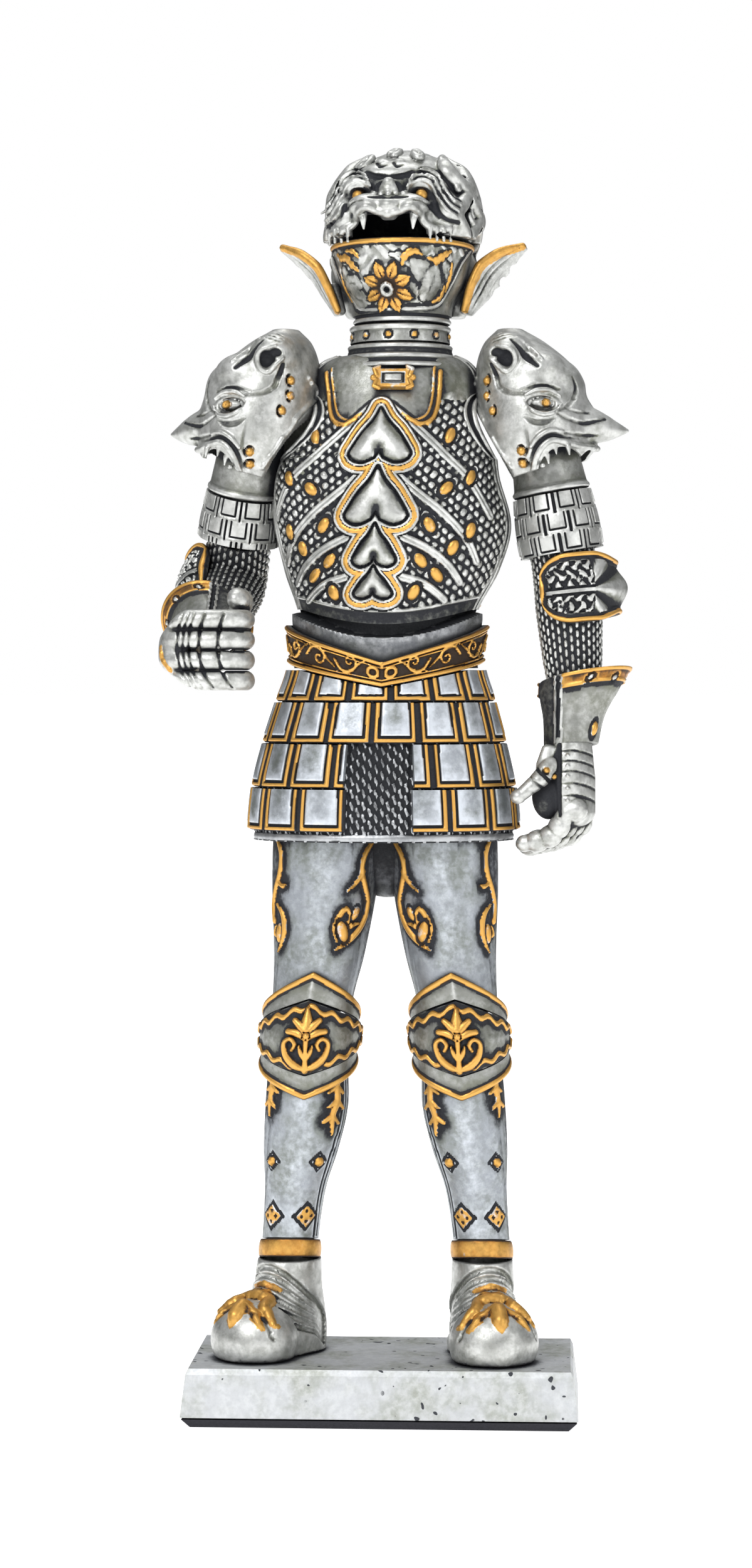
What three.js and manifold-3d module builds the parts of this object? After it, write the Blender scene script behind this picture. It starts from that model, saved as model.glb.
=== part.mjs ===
// A miniature suit of plate armour, standing empty on a plinth, in millimetres with +Z up.
// The suit faces -Y, so its left arm is at +X. The origin is in the middle of the plinth's underside.
// Every plate is a thin wall open where the real one is: the suit is hollow from the helm down to the feet.
import * as THREE from "three";
import { mergeVertices } from "three/addons/utils/BufferGeometryUtils.js";
import Module from "manifold-3d";

const wasm = await Module();
wasm.setup();

// ---- driving dimensions ----------------------------------------------------
const WALL = 1.0; // thickness of every plate
const GAP = 0.3; // clearance between neighbouring plates
const PLINTH_TOP = 9.2;
const LEG_MIRROR_X = 0.25; // the right leg is the left one mirrored about this plane
const SHOULDER_MIRROR_X = 2.3; // the shoulders are mirrored about this plane
const FINGER_COUNT = 4;

const PEWTER = { color: 0x9a9c9b, roughness: 0.42, metalness: 0.9 };
const DARK_PEWTER = { color: 0x55575a, roughness: 0.55, metalness: 0.85 };
const GILT = { color: 0xc98a2b, roughness: 0.4, metalness: 0.85 };
const FELT = { color: 0x15151c, roughness: 0.95, metalness: 0.0 };

// ---- sections --------------------------------------------------------------
// A form is a table of horizontal sections from the lowest up. A row has its height z, its centre x and y,
// its half width (side), and its reach to the front (-Y) and to the back (+Y) of that centre.
const rows = (columns, table) =>
  table.map((values) => Object.fromEntries(columns.map((name, i) => [name, values[i]])));
const COLUMNS = ["z", "x", "y", "side", "front", "back"];

const TORSO = rows(COLUMNS, [
  [124.5, 0.6, 0.0, 13.0, 10.2, 9.6],
  [128.5, 0.8, 0.0, 14.2, 11.0, 10.2],
  [134.0, 1.4, 0.0, 16.6, 12.8, 11.4],
  [141.0, 1.9, 0.0, 17.9, 13.8, 12.2],
  [149.0, 2.0, 0.0, 15.6, 13.4, 12.4],
  [155.0, 2.1, 0.2, 14.0, 12.2, 11.8],
  [161.0, 2.2, 0.6, 12.6, 9.8, 10.4],
  [165.2, 2.3, 0.8, 8.4, 7.8, 8.2],
]);
const SKIRT = rows(COLUMNS, [
  [91.2, 0.0, 0.5, 21.2, 15.6, 14.6],
  [99.4, 0.0, 0.5, 20.4, 15.0, 14.0],
  [106.4, 0.1, 0.4, 18.8, 13.8, 13.0],
  [112.9, 0.3, 0.3, 16.9, 12.6, 12.0],
  [119.2, 0.4, 0.2, 15.0, 11.6, 11.0],
  [126.0, 0.6, 0.0, 15.6, 12.2, 11.4],
]);
const THIGH = rows(COLUMNS, [
  [61.0, 12.1, -1.0, 6.3, 6.6, 6.2],
  [66.0, 11.7, -0.8, 6.4, 6.8, 6.4],
  [73.0, 10.7, -0.4, 7.2, 7.4, 7.2],
  [83.0, 9.9, 0.0, 8.3, 8.2, 8.0],
  [91.0, 9.4, 0.2, 8.7, 8.6, 8.4],
  [100.0, 9.3, 0.4, 8.2, 8.4, 8.2],
]);
const SHIN = rows(COLUMNS, [
  [23.6, 15.7, 2.2, 4.6, 4.9, 5.4],
  [27.6, 15.5, 2.2, 4.5, 4.8, 5.2],
  [35.4, 14.7, 1.8, 4.9, 5.2, 5.6],
  [42.0, 13.7, 1.2, 6.0, 5.8, 6.6],
  [48.6, 12.8, 0.6, 6.6, 6.2, 7.4],
  [55.0, 12.5, -0.2, 6.4, 6.2, 7.0],
  [60.4, 12.2, -0.8, 6.2, 6.2, 6.4],
]);
const HELM = rows(COLUMNS, [
  [172.6, 2.9, 0.8, 7.4, 7.4, 7.6],
  [175.6, 3.0, 0.8, 7.7, 8.2, 8.2],
  [178.6, 3.0, 0.4, 9.3, 10.2, 9.8],
  [182.0, 3.0, 0.0, 10.3, 11.4, 11.2],
  [185.6, 3.0, 0.0, 10.8, 12.0, 12.0],
  [190.0, 3.2, 0.2, 10.8, 11.4, 12.2],
  [194.6, 3.3, 0.4, 9.4, 10.2, 11.2],
  [198.0, 3.5, 0.6, 6.6, 7.2, 8.0],
  [199.4, 3.6, 0.6, 3.6, 4.0, 4.4],
]);
const PAULDRON = rows(COLUMNS, [
  [147.4, 24.2, -0.6, 7.9, 8.4, 9.4],
  [151.0, 24.5, -0.8, 9.0, 10.0, 10.2],
  [156.0, 24.3, -0.8, 9.5, 10.8, 10.4],
  [161.0, 23.7, -0.6, 9.2, 10.4, 9.6],
  [166.0, 22.3, -0.4, 7.6, 8.6, 7.8],
  [169.6, 20.8, -0.2, 4.9, 5.8, 5.2],
  [171.8, 20.0, 0.0, 2.0, 2.6, 2.4],
]);
const BOOT = rows(COLUMNS, [
  [9.5, 0, 0, 5.6, 15.0, 6.2],
  [13.0, 0, 0, 5.7, 14.6, 6.4],
  [16.5, 0, 0, 5.4, 11.0, 6.0],
  [19.5, 0, 0, 5.0, 7.6, 5.6],
  [24.1, 0, 0, 4.8, 5.4, 5.5],
]);
// The arms are made along their own axis: z is 0 at the shoulder or the elbow and falls towards the hand.
const UPPER_ARM = rows(COLUMNS, [
  [-25.0, 0, 0, 6.2, 6.2, 6.2],
  [-18.0, 0, 0, 6.5, 6.5, 6.5],
  [-12.0, 0, 0, 5.9, 5.9, 5.9],
  [-3.0, 0, 0, 5.0, 5.2, 5.2],
]);
const CUFF = rows(COLUMNS, [
  [-24.6, -1.2, 0, 4.3, 4.4, 4.4],
  [-20.0, -0.4, 0, 4.9, 5.0, 5.0],
  [-16.0, 0.7, 0, 6.3, 6.0, 6.0],
  [-12.6, 2.0, 0.2, 7.0, 7.0, 7.2],
]);
const COUTER = rows(COLUMNS, [
  [-5.6, 0.7, 0.2, 6.7, 7.1, 7.1],
  [-2.6, 0.8, 0.3, 7.2, 7.7, 7.6],
  [0.0, 0.8, 0.4, 7.5, 8.0, 7.8],
  [2.6, 0.8, 0.3, 7.3, 7.8, 7.6],
  [5.6, 0.7, 0.2, 7.0, 7.3, 7.2],
]);

// Where each arm segment sits: its joint, and its turn about X, Y and Z in degrees.
// The left arm hangs. The right one is bent, with its forearm reaching forwards.
const ARMS = {
  left: {
    upperArm: { at: [24.5, 0.0, 158.0], turn: [0, -10, 0] },
    elbow: { at: [29.2, 0.2, 130.4], turn: [-4, -6, 0] },
    forearm: { at: [29.2, 0.2, 130.4], turn: [-8, -4, 0] },
    sleeveEnd: -21.8,
    cuffEnd: -24.4,
    guardFrom: -42,
  },
  right: {
    upperArm: { at: [-20.2, -1.0, 158.0], turn: [15, 9, 0] },
    elbow: { at: [-24.6, 6.2, 131.4], turn: [-25, 6, 0] },
    forearm: { at: [-24.6, 6.2, 131.4], turn: [-65, 5, 0] },
    sleeveEnd: -19.8,
    cuffEnd: -22.2,
    guardFrom: 50,
  },
};

// ---- shapes ----------------------------------------------------------------
const radians = THREE.MathUtils.degToRad;

// A section at any height: a cubic through the table's rows, so that a form curves smoothly between them.
function sectionAt(form, z) {
  const last = form.length - 1;
  const i = Math.min(Math.max(form.findIndex((row) => row.z > z) - 1, 0), last - 1);
  const k = z >= form[last].z ? last - 1 : i;
  const span = form[k + 1].z - form[k].z;
  const t = Math.min(Math.max((z - form[k].z) / span, 0), 1);
  const slope = (name, n) => {
    const before = form[Math.max(n - 1, 0)];
    const after = form[Math.min(n + 1, last)];
    return ((after[name] - before[name]) / (after.z - before.z)) * span;
  };
  const made = { z };
  for (const name of COLUMNS.slice(1)) {
    const [a, b] = [form[k][name], form[k + 1][name]];
    const rise = t * t * (3 - 2 * t);
    const leave = t * (1 - t) * (1 - t) * slope(name, k);
    const arrive = t * t * (t - 1) * slope(name, k + 1);
    made[name] = a + (b - a) * rise + leave + arrive;
  }
  return made;
}

// The point of a form at an angle (0 is the front, 90 is +X) and a height, moved outwards.
function pointOn(form, degrees, z, out) {
  const s = sectionAt(form, z);
  const angle = radians(degrees);
  const reach = Math.cos(angle) > 0 ? s.front : s.back;
  const side = s.x + (s.side + out) * Math.sin(angle);
  return [side, s.y - (reach + out) * Math.cos(angle), z];
}

function closedGeometry(points, faces) {
  const made = new THREE.BufferGeometry();
  made.setAttribute("position", new THREE.Float32BufferAttribute(points.flat(), 3));
  made.setIndex(faces);
  return made;
}

const asFunction = (value) => (typeof value === "function" ? value : () => value);

// A curved plate of even thickness on a form, from one angle to another and from one height to another.
// The heights may change with the angle. A plate that goes all the way round closes on itself.
function plate(form, { from = -180, to = 180, low, high, inner = -WALL, outer = 0, columns, levels = 1 }) {
  const full = to - from >= 360;
  const count = full ? columns : columns + 1;
  const points = [];
  const faces = [];
  const index = (skin, i, j) => (skin * count + (full ? i % count : i)) * (levels + 1) + j;
  for (const out of [outer, inner])
    for (let i = 0; i < count; i++) {
      const degrees = from + ((to - from) * i) / columns;
      const [z0, z1] = [asFunction(low)(degrees), asFunction(high)(degrees)];
      for (let j = 0; j <= levels; j++) {
        const z = z0 + ((z1 - z0) * j) / levels;
        points.push(pointOn(form, degrees, z, asFunction(out)(degrees, z)));
      }
    }
  const quad = (a, b, c, d) => faces.push(a, b, c, a, c, d);
  for (let i = 0; i < columns; i++) {
    for (let j = 0; j < levels; j++) {
      quad(index(0, i, j), index(0, i + 1, j), index(0, i + 1, j + 1), index(0, i, j + 1));
      quad(index(1, i, j), index(1, i, j + 1), index(1, i + 1, j + 1), index(1, i + 1, j));
    }
    quad(index(0, i, 0), index(1, i, 0), index(1, i + 1, 0), index(0, i + 1, 0));
    quad(index(0, i, levels), index(0, i + 1, levels), index(1, i + 1, levels), index(1, i, levels));
  }
  if (!full)
    for (let j = 0; j < levels; j++) {
      quad(index(0, 0, j), index(0, 0, j + 1), index(1, 0, j + 1), index(1, 0, j));
      const [a, b] = [index(0, columns, j), index(1, columns, j)];
      quad(a, b, b + 1, a + 1);
    }
  return closedGeometry(points, faces);
}

// The filled body of a form between two heights.
function filled(form, { low, high, out = 0, columns, levels }) {
  const points = [];
  const faces = [];
  for (let j = 0; j <= levels; j++)
    for (let i = 0; i < columns; i++)
      points.push(pointOn(form, (360 * i) / columns, low + ((high - low) * j) / levels, out));
  const ends = [0, levels].map((j) => {
    const s = sectionAt(form, j ? high : low);
    return points.push([s.x, s.y, s.z]) - 1;
  });
  for (let i = 0; i < columns; i++) {
    const next = (i + 1) % columns;
    for (let j = 0; j < levels; j++) {
      const [a, b] = [j * columns + i, j * columns + next];
      faces.push(a, b, b + columns, a, b + columns, a + columns);
    }
    const top = levels * columns;
    faces.push(ends[0], next, i, ends[1], top + i, top + next);
  }
  return closedGeometry(points, faces);
}

// A limb along a path: each stop has its centre, its half width along `across` and its half thickness.
// Without a bore it is solid with closed ends. With one it is a tube of that wall, open at both ends.
function limb({ stops, across, sides, wall = 0 }) {
  const centres = stops.map((stop) => new THREE.Vector3(...stop.at));
  const wide = new THREE.Vector3(...across).normalize();
  const points = [];
  const faces = [];
  const ring = (k, shrink) => {
    const ahead = centres[Math.min(k + 1, centres.length - 1)];
    const along = ahead.clone().sub(centres[Math.max(k - 1, 0)]).normalize();
    const u = wide.clone().addScaledVector(along, -wide.dot(along)).normalize();
    const v = along.clone().cross(u);
    for (let i = 0; i < sides; i++) {
      const angle = (2 * Math.PI * (i + 0.5)) / sides;
      const p = centres[k].clone();
      p.addScaledVector(u, (stops[k].wide - shrink) * Math.cos(angle));
      p.addScaledVector(v, (stops[k].thick - shrink) * Math.sin(angle));
      points.push(p.toArray());
    }
  };
  stops.forEach((_, k) => ring(k, 0));
  if (wall) stops.forEach((_, k) => ring(k, wall));
  const quad = (a, b, c, d) => faces.push(a, b, c, a, c, d);
  const inside = stops.length * sides;
  const end = (stops.length - 1) * sides;
  for (let i = 0; i < sides; i++) {
    const next = (i + 1) % sides;
    for (let k = 0; k < stops.length - 1; k++) {
      const [a, b] = [k * sides + i, k * sides + next];
      quad(a, b, b + sides, a + sides);
      if (wall) quad(inside + a, inside + a + sides, inside + b + sides, inside + b);
    }
    if (wall) {
      quad(i, inside + i, inside + next, next);
      quad(end + i, end + next, inside + end + next, inside + end + i);
    }
  }
  if (!wall)
    for (let i = 1; i < sides - 1; i++) {
      faces.push(0, i + 1, i);
      faces.push(end, end + i, end + i + 1);
    }
  return closedGeometry(points, faces);
}

// A slab with a rectangular outline that changes with height.
function slab(levels) {
  const points = levels.flatMap(({ z, width, depth }) =>
    [[-1, -1], [1, -1], [1, 1], [-1, 1]].map(([x, y]) => [(x * width) / 2, (y * depth) / 2, z]),
  );
  const faces = [0, 2, 1, 0, 3, 2];
  const top = (levels.length - 1) * 4;
  faces.push(top, top + 1, top + 2, top, top + 2, top + 3);
  for (let k = 0; k < levels.length - 1; k++)
    for (let i = 0; i < 4; i++) {
      const [a, b] = [4 * k + i, 4 * k + ((i + 1) % 4)];
      faces.push(a, b, b + 4, a, b + 4, a + 4);
    }
  return closedGeometry(points, faces);
}

function ellipsoid(at, radii, sides = 10) {
  return new THREE.SphereGeometry(1, sides, Math.round(sides * 0.6)).scale(...radii).translate(...at);
}

function box(at, size, turn = [0, 0, 0]) {
  const made = new THREE.BoxGeometry(...size);
  made.applyMatrix4(new THREE.Matrix4().makeRotationFromEuler(new THREE.Euler(...turn.map(radians))));
  return made.translate(...at);
}

// ---- joining and cutting ---------------------------------------------------
function solid(geometry) {
  const bare = new THREE.BufferGeometry().setAttribute("position", geometry.getAttribute("position"));
  if (geometry.index) bare.setIndex(geometry.index);
  const merged = mergeVertices(bare, 1e-4);
  const vertProperties = new Float32Array(merged.attributes.position.array);
  const triVerts = new Uint32Array(merged.index.array);
  return new wasm.Manifold(new wasm.Mesh({ numProp: 3, vertProperties, triVerts }));
}

// Some pieces joined, with others cut away.
function carve(joined, cut = []) {
  const start = joined.map(solid).reduce((a, b) => a.add(b));
  const mesh = cut.map(solid).reduce((a, b) => a.subtract(b), start).getMesh();
  const points = [];
  for (let i = 0; i < mesh.numVert; i++)
    points.push([...mesh.vertProperties.slice(i * mesh.numProp, i * mesh.numProp + 3)]);
  return closedGeometry(points, [...mesh.triVerts]);
}

function placed(geometry, place) {
  const turn = new THREE.Euler(...place.turn.map(radians));
  const matrix = new THREE.Matrix4().makeRotationFromEuler(turn).setPosition(...place.at);
  return geometry.clone().applyMatrix4(matrix);
}

// ---- the suit --------------------------------------------------------------
const suit = new THREE.Group();

function add(name, geometry, finish, parent = suit) {
  const mesh = new THREE.Mesh(geometry, new THREE.MeshStandardMaterial(finish));
  mesh.name = name;
  parent.add(mesh);
  return mesh;
}

function mirroredGroup(x) {
  const group = new THREE.Group();
  group.scale.x = -1;
  group.position.x = 2 * x;
  suit.add(group);
  return group;
}

// How far along the way from the front to the side of the body an angle lies, 0 at the front and 1 at the side.
const sideways = (degrees) => Math.min(Math.abs(degrees) / 90, 1);

// The belt dips to a point in the middle of the front.
const beltDip = (degrees) => 4.0 * (1 - sideways(degrees)) ** 1.3;
const beltEdge = (degrees) => 119.4 - beltDip(degrees);

function makePlinth() {
  add(
    "plinth_pad",
    slab([
      { z: 0, width: 59.0, depth: 28.6 },
      { z: 1.4, width: 61.6, depth: 30.8 },
    ]),
    FELT,
  );
  add(
    "plinth",
    slab([
      { z: 1.7, width: 62.0, depth: 31.2 },
      { z: 8.3, width: 60.4, depth: 29.6 },
      { z: PLINTH_TOP, width: 59.6, depth: 28.8 },
    ]),
    PEWTER,
  );
}

function makeTorso() {
  const armholes = [1, -1].map((way) =>
    new THREE.CylinderGeometry(5.2, 5.2, 14, 12).rotateZ(Math.PI / 2).translate(2.1 + way * 15, 0.2, 156.4),
  );
  const bottom = 126.4;
  const seam = 88; // the front and back plates meet at the sides
  const front = plate(TORSO, { from: -seam, to: seam, low: bottom, high: 165.2, columns: 14, levels: 6 });
  const behind = { from: seam + 3, to: 360 - seam - 3, columns: 12, levels: 5 };
  const back = plate(TORSO, { ...behind, low: bottom, high: 165.2 });
  add("breastplate", carve([front], armholes), PEWTER);
  add("backplate", carve([back], armholes), PEWTER);
  const waist = { low: 118.4, high: 125.9, inner: -1.6, outer: -0.7, columns: 24, levels: 3 };
  add("waist_plate", plate(SKIRT, waist), DARK_PEWTER);
  const belt = {
    low: beltEdge,
    high: (degrees) => 125.2 - 1.5 * beltDip(degrees),
    inner: -0.3,
    outer: (degrees) => 0.5 + 0.6 * (1 - sideways(degrees)),
    columns: 28,
    levels: 2,
  };
  add("belt", plate(SKIRT, belt), GILT);
}

function makeGorget() {
  const collar = (z, side) => ({ z, x: 2.6, y: 0.8, side, front: side, back: side });
  const lower = [collar(165.5, 9.3), collar(167.2, 8.6), collar(169.3, 7.9)];
  const upper = [collar(169.6, 7.9), collar(172.3, 7.7)];
  add("gorget_lower", plate(lower, { low: 165.5, high: 169.3, columns: 20, levels: 2 }), PEWTER);
  add("gorget_upper", plate(upper, { low: 169.6, high: 172.3, columns: 20 }), PEWTER);
  const clasp = box([2.0, -9.2, 163.3], [6.4, 1.4, 3.4], [-25, 0, 0]);
  const chest = filled(TORSO, { low: 158, high: 165.2, out: GAP, columns: 32, levels: 4 });
  add("neck_clasp", carve([clasp], [chest]), GILT);
}

// Four rows of tiles go down the skirt. The lower two are open in the middle of the front.
function makeSkirt() {
  const rowsOfTiles = [
    { low: 113.2, high: (degrees) => Math.min(118.0, beltEdge(degrees) - GAP), slot: 0 },
    { low: 106.7, high: 112.9, slot: 0 },
    { low: 99.7, high: 106.4, slot: 15.5 },
    { low: 92.9, high: 99.4, slot: 14.5 },
  ];
  rowsOfTiles.forEach(({ low, high, slot }, k) => {
    const span = slot ? { from: slot, to: 360 - slot, columns: 22 } : { columns: 24 };
    add(`skirt_row_${k + 1}`, plate(SKIRT, { ...span, low, high, inner: -0.5, outer: 0.5 }), GILT);
  });
  const mail = { low: 91.2, high: 117.1, inner: -1.8, outer: -0.8, columns: 24, levels: 3 };
  add("mail_skirt", plate(SKIRT, mail), DARK_PEWTER);
}

function kneeEdge(middle, drop) {
  return (degrees) => middle - drop * Math.min(Math.abs(degrees) / 105, 1);
}

function makeLeg(side, parent) {
  add(`cuisse_${side}`, plate(THIGH, { low: 64.2, high: 100, columns: 16, levels: 3 }), PEWTER, parent);
  const knee = { from: -105, to: 105, inner: 0.3, outer: 1.3, columns: 10 };
  const upper = { ...knee, low: kneeEdge(66.6, 5.0), high: kneeEdge(70.8, 7.6) };
  add(`poleyn_upper_${side}`, plate(THIGH, upper), PEWTER, parent);
  const lower = { ...knee, low: kneeEdge(50.4, -5.8), high: kneeEdge(54.2, -4.3) };
  add(`poleyn_lower_${side}`, plate(SHIN, lower), PEWTER, parent);
  const cop = rows(COLUMNS, [
    [53.0, 12.5, -0.6, 7.4, 7.6, 7.0],
    [57.0, 12.3, -0.9, 7.8, 9.2, 7.2],
    [60.3, 12.1, -1.0, 8.0, 9.8, 7.2],
    [63.6, 11.9, -1.0, 7.9, 9.2, 7.2],
    [67.6, 11.6, -0.8, 7.6, 7.9, 7.2],
  ]);
  const shell = { ...knee, inner: -WALL, outer: 0, levels: 3 };
  const middle = { low: kneeEdge(54.5, -4.3), high: kneeEdge(66.3, 5.0) };
  add(`poleyn_cop_${side}`, plate(cop, { ...shell, ...middle }), PEWTER, parent);
  add(`greave_${side}`, plate(SHIN, { low: 27.7, high: 60.2, columns: 16, levels: 4 }), PEWTER, parent);
  const ankle = { low: 24.4, high: 27.4, inner: -0.6, outer: 0.4, columns: 16 };
  add(`ankle_band_${side}`, plate(SHIN, ankle), GILT, parent);
}

function makeFoot(side, parent, turn) {
  const toe = (out) => ellipsoid([0, -9.0, 12.2], [7.1 + out, 6.6 + out, 6.4 + out], 12);
  const outer = filled(BOOT, { low: 9.5, high: 24.1, columns: 14, levels: 3 });
  const inner = filled(BOOT, { low: 8.9, high: 24.6, out: -WALL, columns: 12, levels: 3 });
  const below = box([0, 0, 4.5], [60, 60, 10]);
  const foot = add(`sabaton_${side}`, carve([outer, toe(0)], [inner, toe(-WALL), below]), PEWTER, parent);
  foot.position.set(15.7, 2.4, 0);
  foot.rotation.z = radians(turn);
}

function makeHelm() {
  const cut = (z0, z1, reach) => box([3.2, -10 - reach, (z0 + z1) / 2], [40, 20, z1 - z0]);
  add("helm_neck", plate(HELM, { low: 172.6, high: 176.0, columns: 20 }), PEWTER);
  const bevor = { from: -95, to: 95, low: 176.3, high: 185.2, inner: -0.8, outer: 0.3, columns: 14, levels: 3 };
  add("helm_bevor", plate(HELM, bevor), PEWTER);
  const muzzle = ellipsoid([3.0, -10.4, 192.6], [6.6, 4.4, 3.2], 10);
  const brow = ellipsoid([3.4, -7.2, 195.4], [6.6, 3.6, 3.0], 10);
  const cheeks = [-1, 1].map((way) => ellipsoid([3.0 + way * 8.0, -5.2, 189.8], [3.0, 4.0, 4.2], 8));
  const tufts = [
    { at: [12.8, 3.0, 188.8], size: [3.0, 3.6, 4.4] },
    { at: [-5.4, 4.0, 188.8], size: [3.0, 3.6, 4.4] },
    { at: [8.8, 6.0, 194.4], size: [3.8, 4.6, 3.4] },
    { at: [-1.8, 6.0, 194.4], size: [3.6, 4.6, 3.4] },
  ].map(({ at, size }) => ellipsoid(at, size, 8));
  const outer = filled(HELM, { low: 176.3, high: 199.4, columns: 20, levels: 6 });
  const inner = filled(HELM, { low: 175.0, high: 198.4, out: -1.1, columns: 16, levels: 5 });
  const mouth = box([3.2, -12, 186.4], [15.4, 24, 8.4]);
  const faceOpening = cut(170, 185.5, -1.4 - GAP);
  add("helm_skull", carve([outer, muzzle, brow, ...cheeks, ...tufts], [inner, mouth, faceOpening]), PEWTER);
  [1, -1].forEach((way) => {
    const wing = limb({
      stops: [
        { at: [3.0 + way * 10.6, 0.0, 174.6], wide: 1.2, thick: 0.5 },
        { at: [3.0 + way * 12.6, 0.2, 178.0], wide: 3.2, thick: 0.6 },
        { at: [3.0 + way * 14.6, 0.8, 181.4], wide: 3.4, thick: 0.6 },
        { at: [3.0 + way * 17.4, 1.6, 184.0], wide: 2.0, thick: 0.5 },
        { at: [3.0 + way * 19.4, 2.2, 185.4], wide: 0.6, thick: 0.4 },
      ],
      across: [way * 0.35, 0.8, -0.3],
      sides: 8,
    });
    add(way > 0 ? "ear_wing_left" : "ear_wing_right", wing, GILT);
  });
}

function makePauldron(side, parent) {
  const spike = limb({
    stops: [
      { at: [27.0, -2.6, 158.0], wide: 5.0, thick: 3.4 },
      { at: [31.6, -3.2, 157.4], wide: 4.0, thick: 2.8 },
      { at: [35.4, -2.8, 156.6], wide: 2.2, thick: 1.6 },
      { at: [38.5, -2.2, 155.6], wide: 0.3, thick: 0.3 },
    ],
    across: [0, 1, 0],
    sides: 8,
  });
  const snout = ellipsoid([19.6, -5.4, 166.8], [3.8, 4.4, 4.0], 10);
  const outer = filled(PAULDRON, { low: 147.4, high: 171.8, columns: 16, levels: 5 });
  const inner = filled(PAULDRON, { low: 146.4, high: 170.6, out: -WALL, columns: 14, levels: 5 });
  const torso = filled(TORSO, { low: 138, high: 165.2, out: GAP + 0.7, columns: 16, levels: 4 });
  const belowSlope = box([26, 0, 139.2], [70, 60, 20], [0, -16, 0]);
  const neckSide = box([4.4, 0, 160], [20, 60, 60]);
  const shell = carve([outer, spike, snout], [inner, torso, belowSlope, neckSide]);
  add(`pauldron_${side}`, shell, PEWTER, parent);
}

function makeArm(side) {
  const { upperArm, elbow, forearm, sleeveEnd, cuffEnd, guardFrom } = ARMS[side];
  const outwards = side === "left" ? 1 : -1;
  const flip = (form) => form.map((row) => ({ ...row, x: row.x * outwards }));
  const on = (place, name, geometry, finish) => add(`${name}_${side}`, placed(geometry, place), finish);
  on(upperArm, "arm_cannon", plate(UPPER_ARM, { low: -12.2, high: -3.8, columns: 14 }), PEWTER);
  on(upperArm, "tile_sleeve", plate(UPPER_ARM, { low: sleeveEnd, high: -12.5, columns: 14 }), PEWTER);

  // The elbow guard goes round the outer side and rises to a blunt point there.
  const swell = (degrees, z) => 1.0 * Math.exp(-(((degrees * outwards - 100) / 22) ** 2) - (z / 2.4) ** 2);
  const ends = [guardFrom * outwards, 190 * outwards].sort((a, b) => a - b);
  const guard = {
    from: ends[0],
    to: ends[1],
    low: -5.4,
    high: 5.4,
    inner: (degrees, z) => swell(degrees, z) - WALL,
    outer: swell,
    columns: 16,
    levels: 4,
  };
  on(elbow, "couter", plate(flip(COUTER), guard), PEWTER);

  // The mail bends inside it, from the end of the tiled sleeve to the cuff.
  const point = (place, z) => placed(new THREE.BufferGeometry().setFromPoints([new THREE.Vector3(0, 0, z)]), place);
  const stop = (place, z, radius) => ({
    at: [...point(place, z).getAttribute("position").array],
    wide: radius,
    thick: radius,
  });
  const stops = [
    stop(upperArm, sleeveEnd - GAP, 5.1),
    stop(elbow, 0, 5.3),
    stop(forearm, -6.0, 5.0),
    stop(forearm, -10.0, 4.7),
    stop(forearm, -14.8, 4.1),
  ];
  add(`mail_sleeve_${side}`, limb({ stops, across: [1, 0, 0], sides: 12, wall: WALL }), DARK_PEWTER);

  const rim = (degrees) => -13.4 + 0.8 * outwards * Math.sin(radians(degrees));
  on(forearm, "cuff", plate(flip(CUFF), { low: cuffEnd, high: rim, columns: 16, levels: 3 }), PEWTER);
}

// The left hand hangs open: its back faces out and its fingers curl in towards the thigh.
function makeLeftHand() {
  const across = [0.45, 0.88, 0];
  add(
    "hand_plate_left",
    limb({
      stops: [
        { at: [29.6, -3.4, 105.2], wide: 4.4, thick: 3.4 },
        { at: [30.2, -3.8, 101.0], wide: 5.0, thick: 3.0 },
        { at: [30.8, -4.0, 95.8], wide: 5.2, thick: 2.6 },
      ],
      across,
      sides: 12,
      wall: 0.9,
    }),
    PEWTER,
  );
  for (let k = 0; k < FINGER_COUNT; k++) {
    const offset = (k - (FINGER_COUNT - 1) / 2) * 2.6;
    const reach = [8.6, 9.2, 8.6, 7.4][k];
    const at = (dx, dy, dz) => [30.6 + dx + offset * 0.45, -4.0 + dy + offset * 0.88, 94.9 + dz];
    const stops = [
      { at: at(0, 0, 0), wide: 1.12, thick: 1.3 },
      { at: at(-0.24 * reach, 0.12 * reach, -0.36 * reach), wide: 1.12, thick: 1.25 },
      { at: at(-0.66 * reach, 0.24 * reach, -0.56 * reach), wide: 1.08, thick: 1.15 },
      { at: at(-reach, 0.34 * reach, -0.66 * reach), wide: 0.8, thick: 0.7 },
    ];
    add(`finger_left_${k + 1}`, limb({ stops, across, sides: 8 }), PEWTER);
  }
  const thumb = [
    { at: [25.6, -7.2, 103.4], wide: 1.5, thick: 1.5 },
    { at: [23.6, -8.4, 101.0], wide: 1.5, thick: 1.5 },
    { at: [21.6, -9.0, 98.2], wide: 0.9, thick: 0.9 },
  ];
  add("thumb_left", limb({ stops: thumb, across: [0.5, -0.8, 0], sides: 8 }), PEWTER);
}

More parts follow.
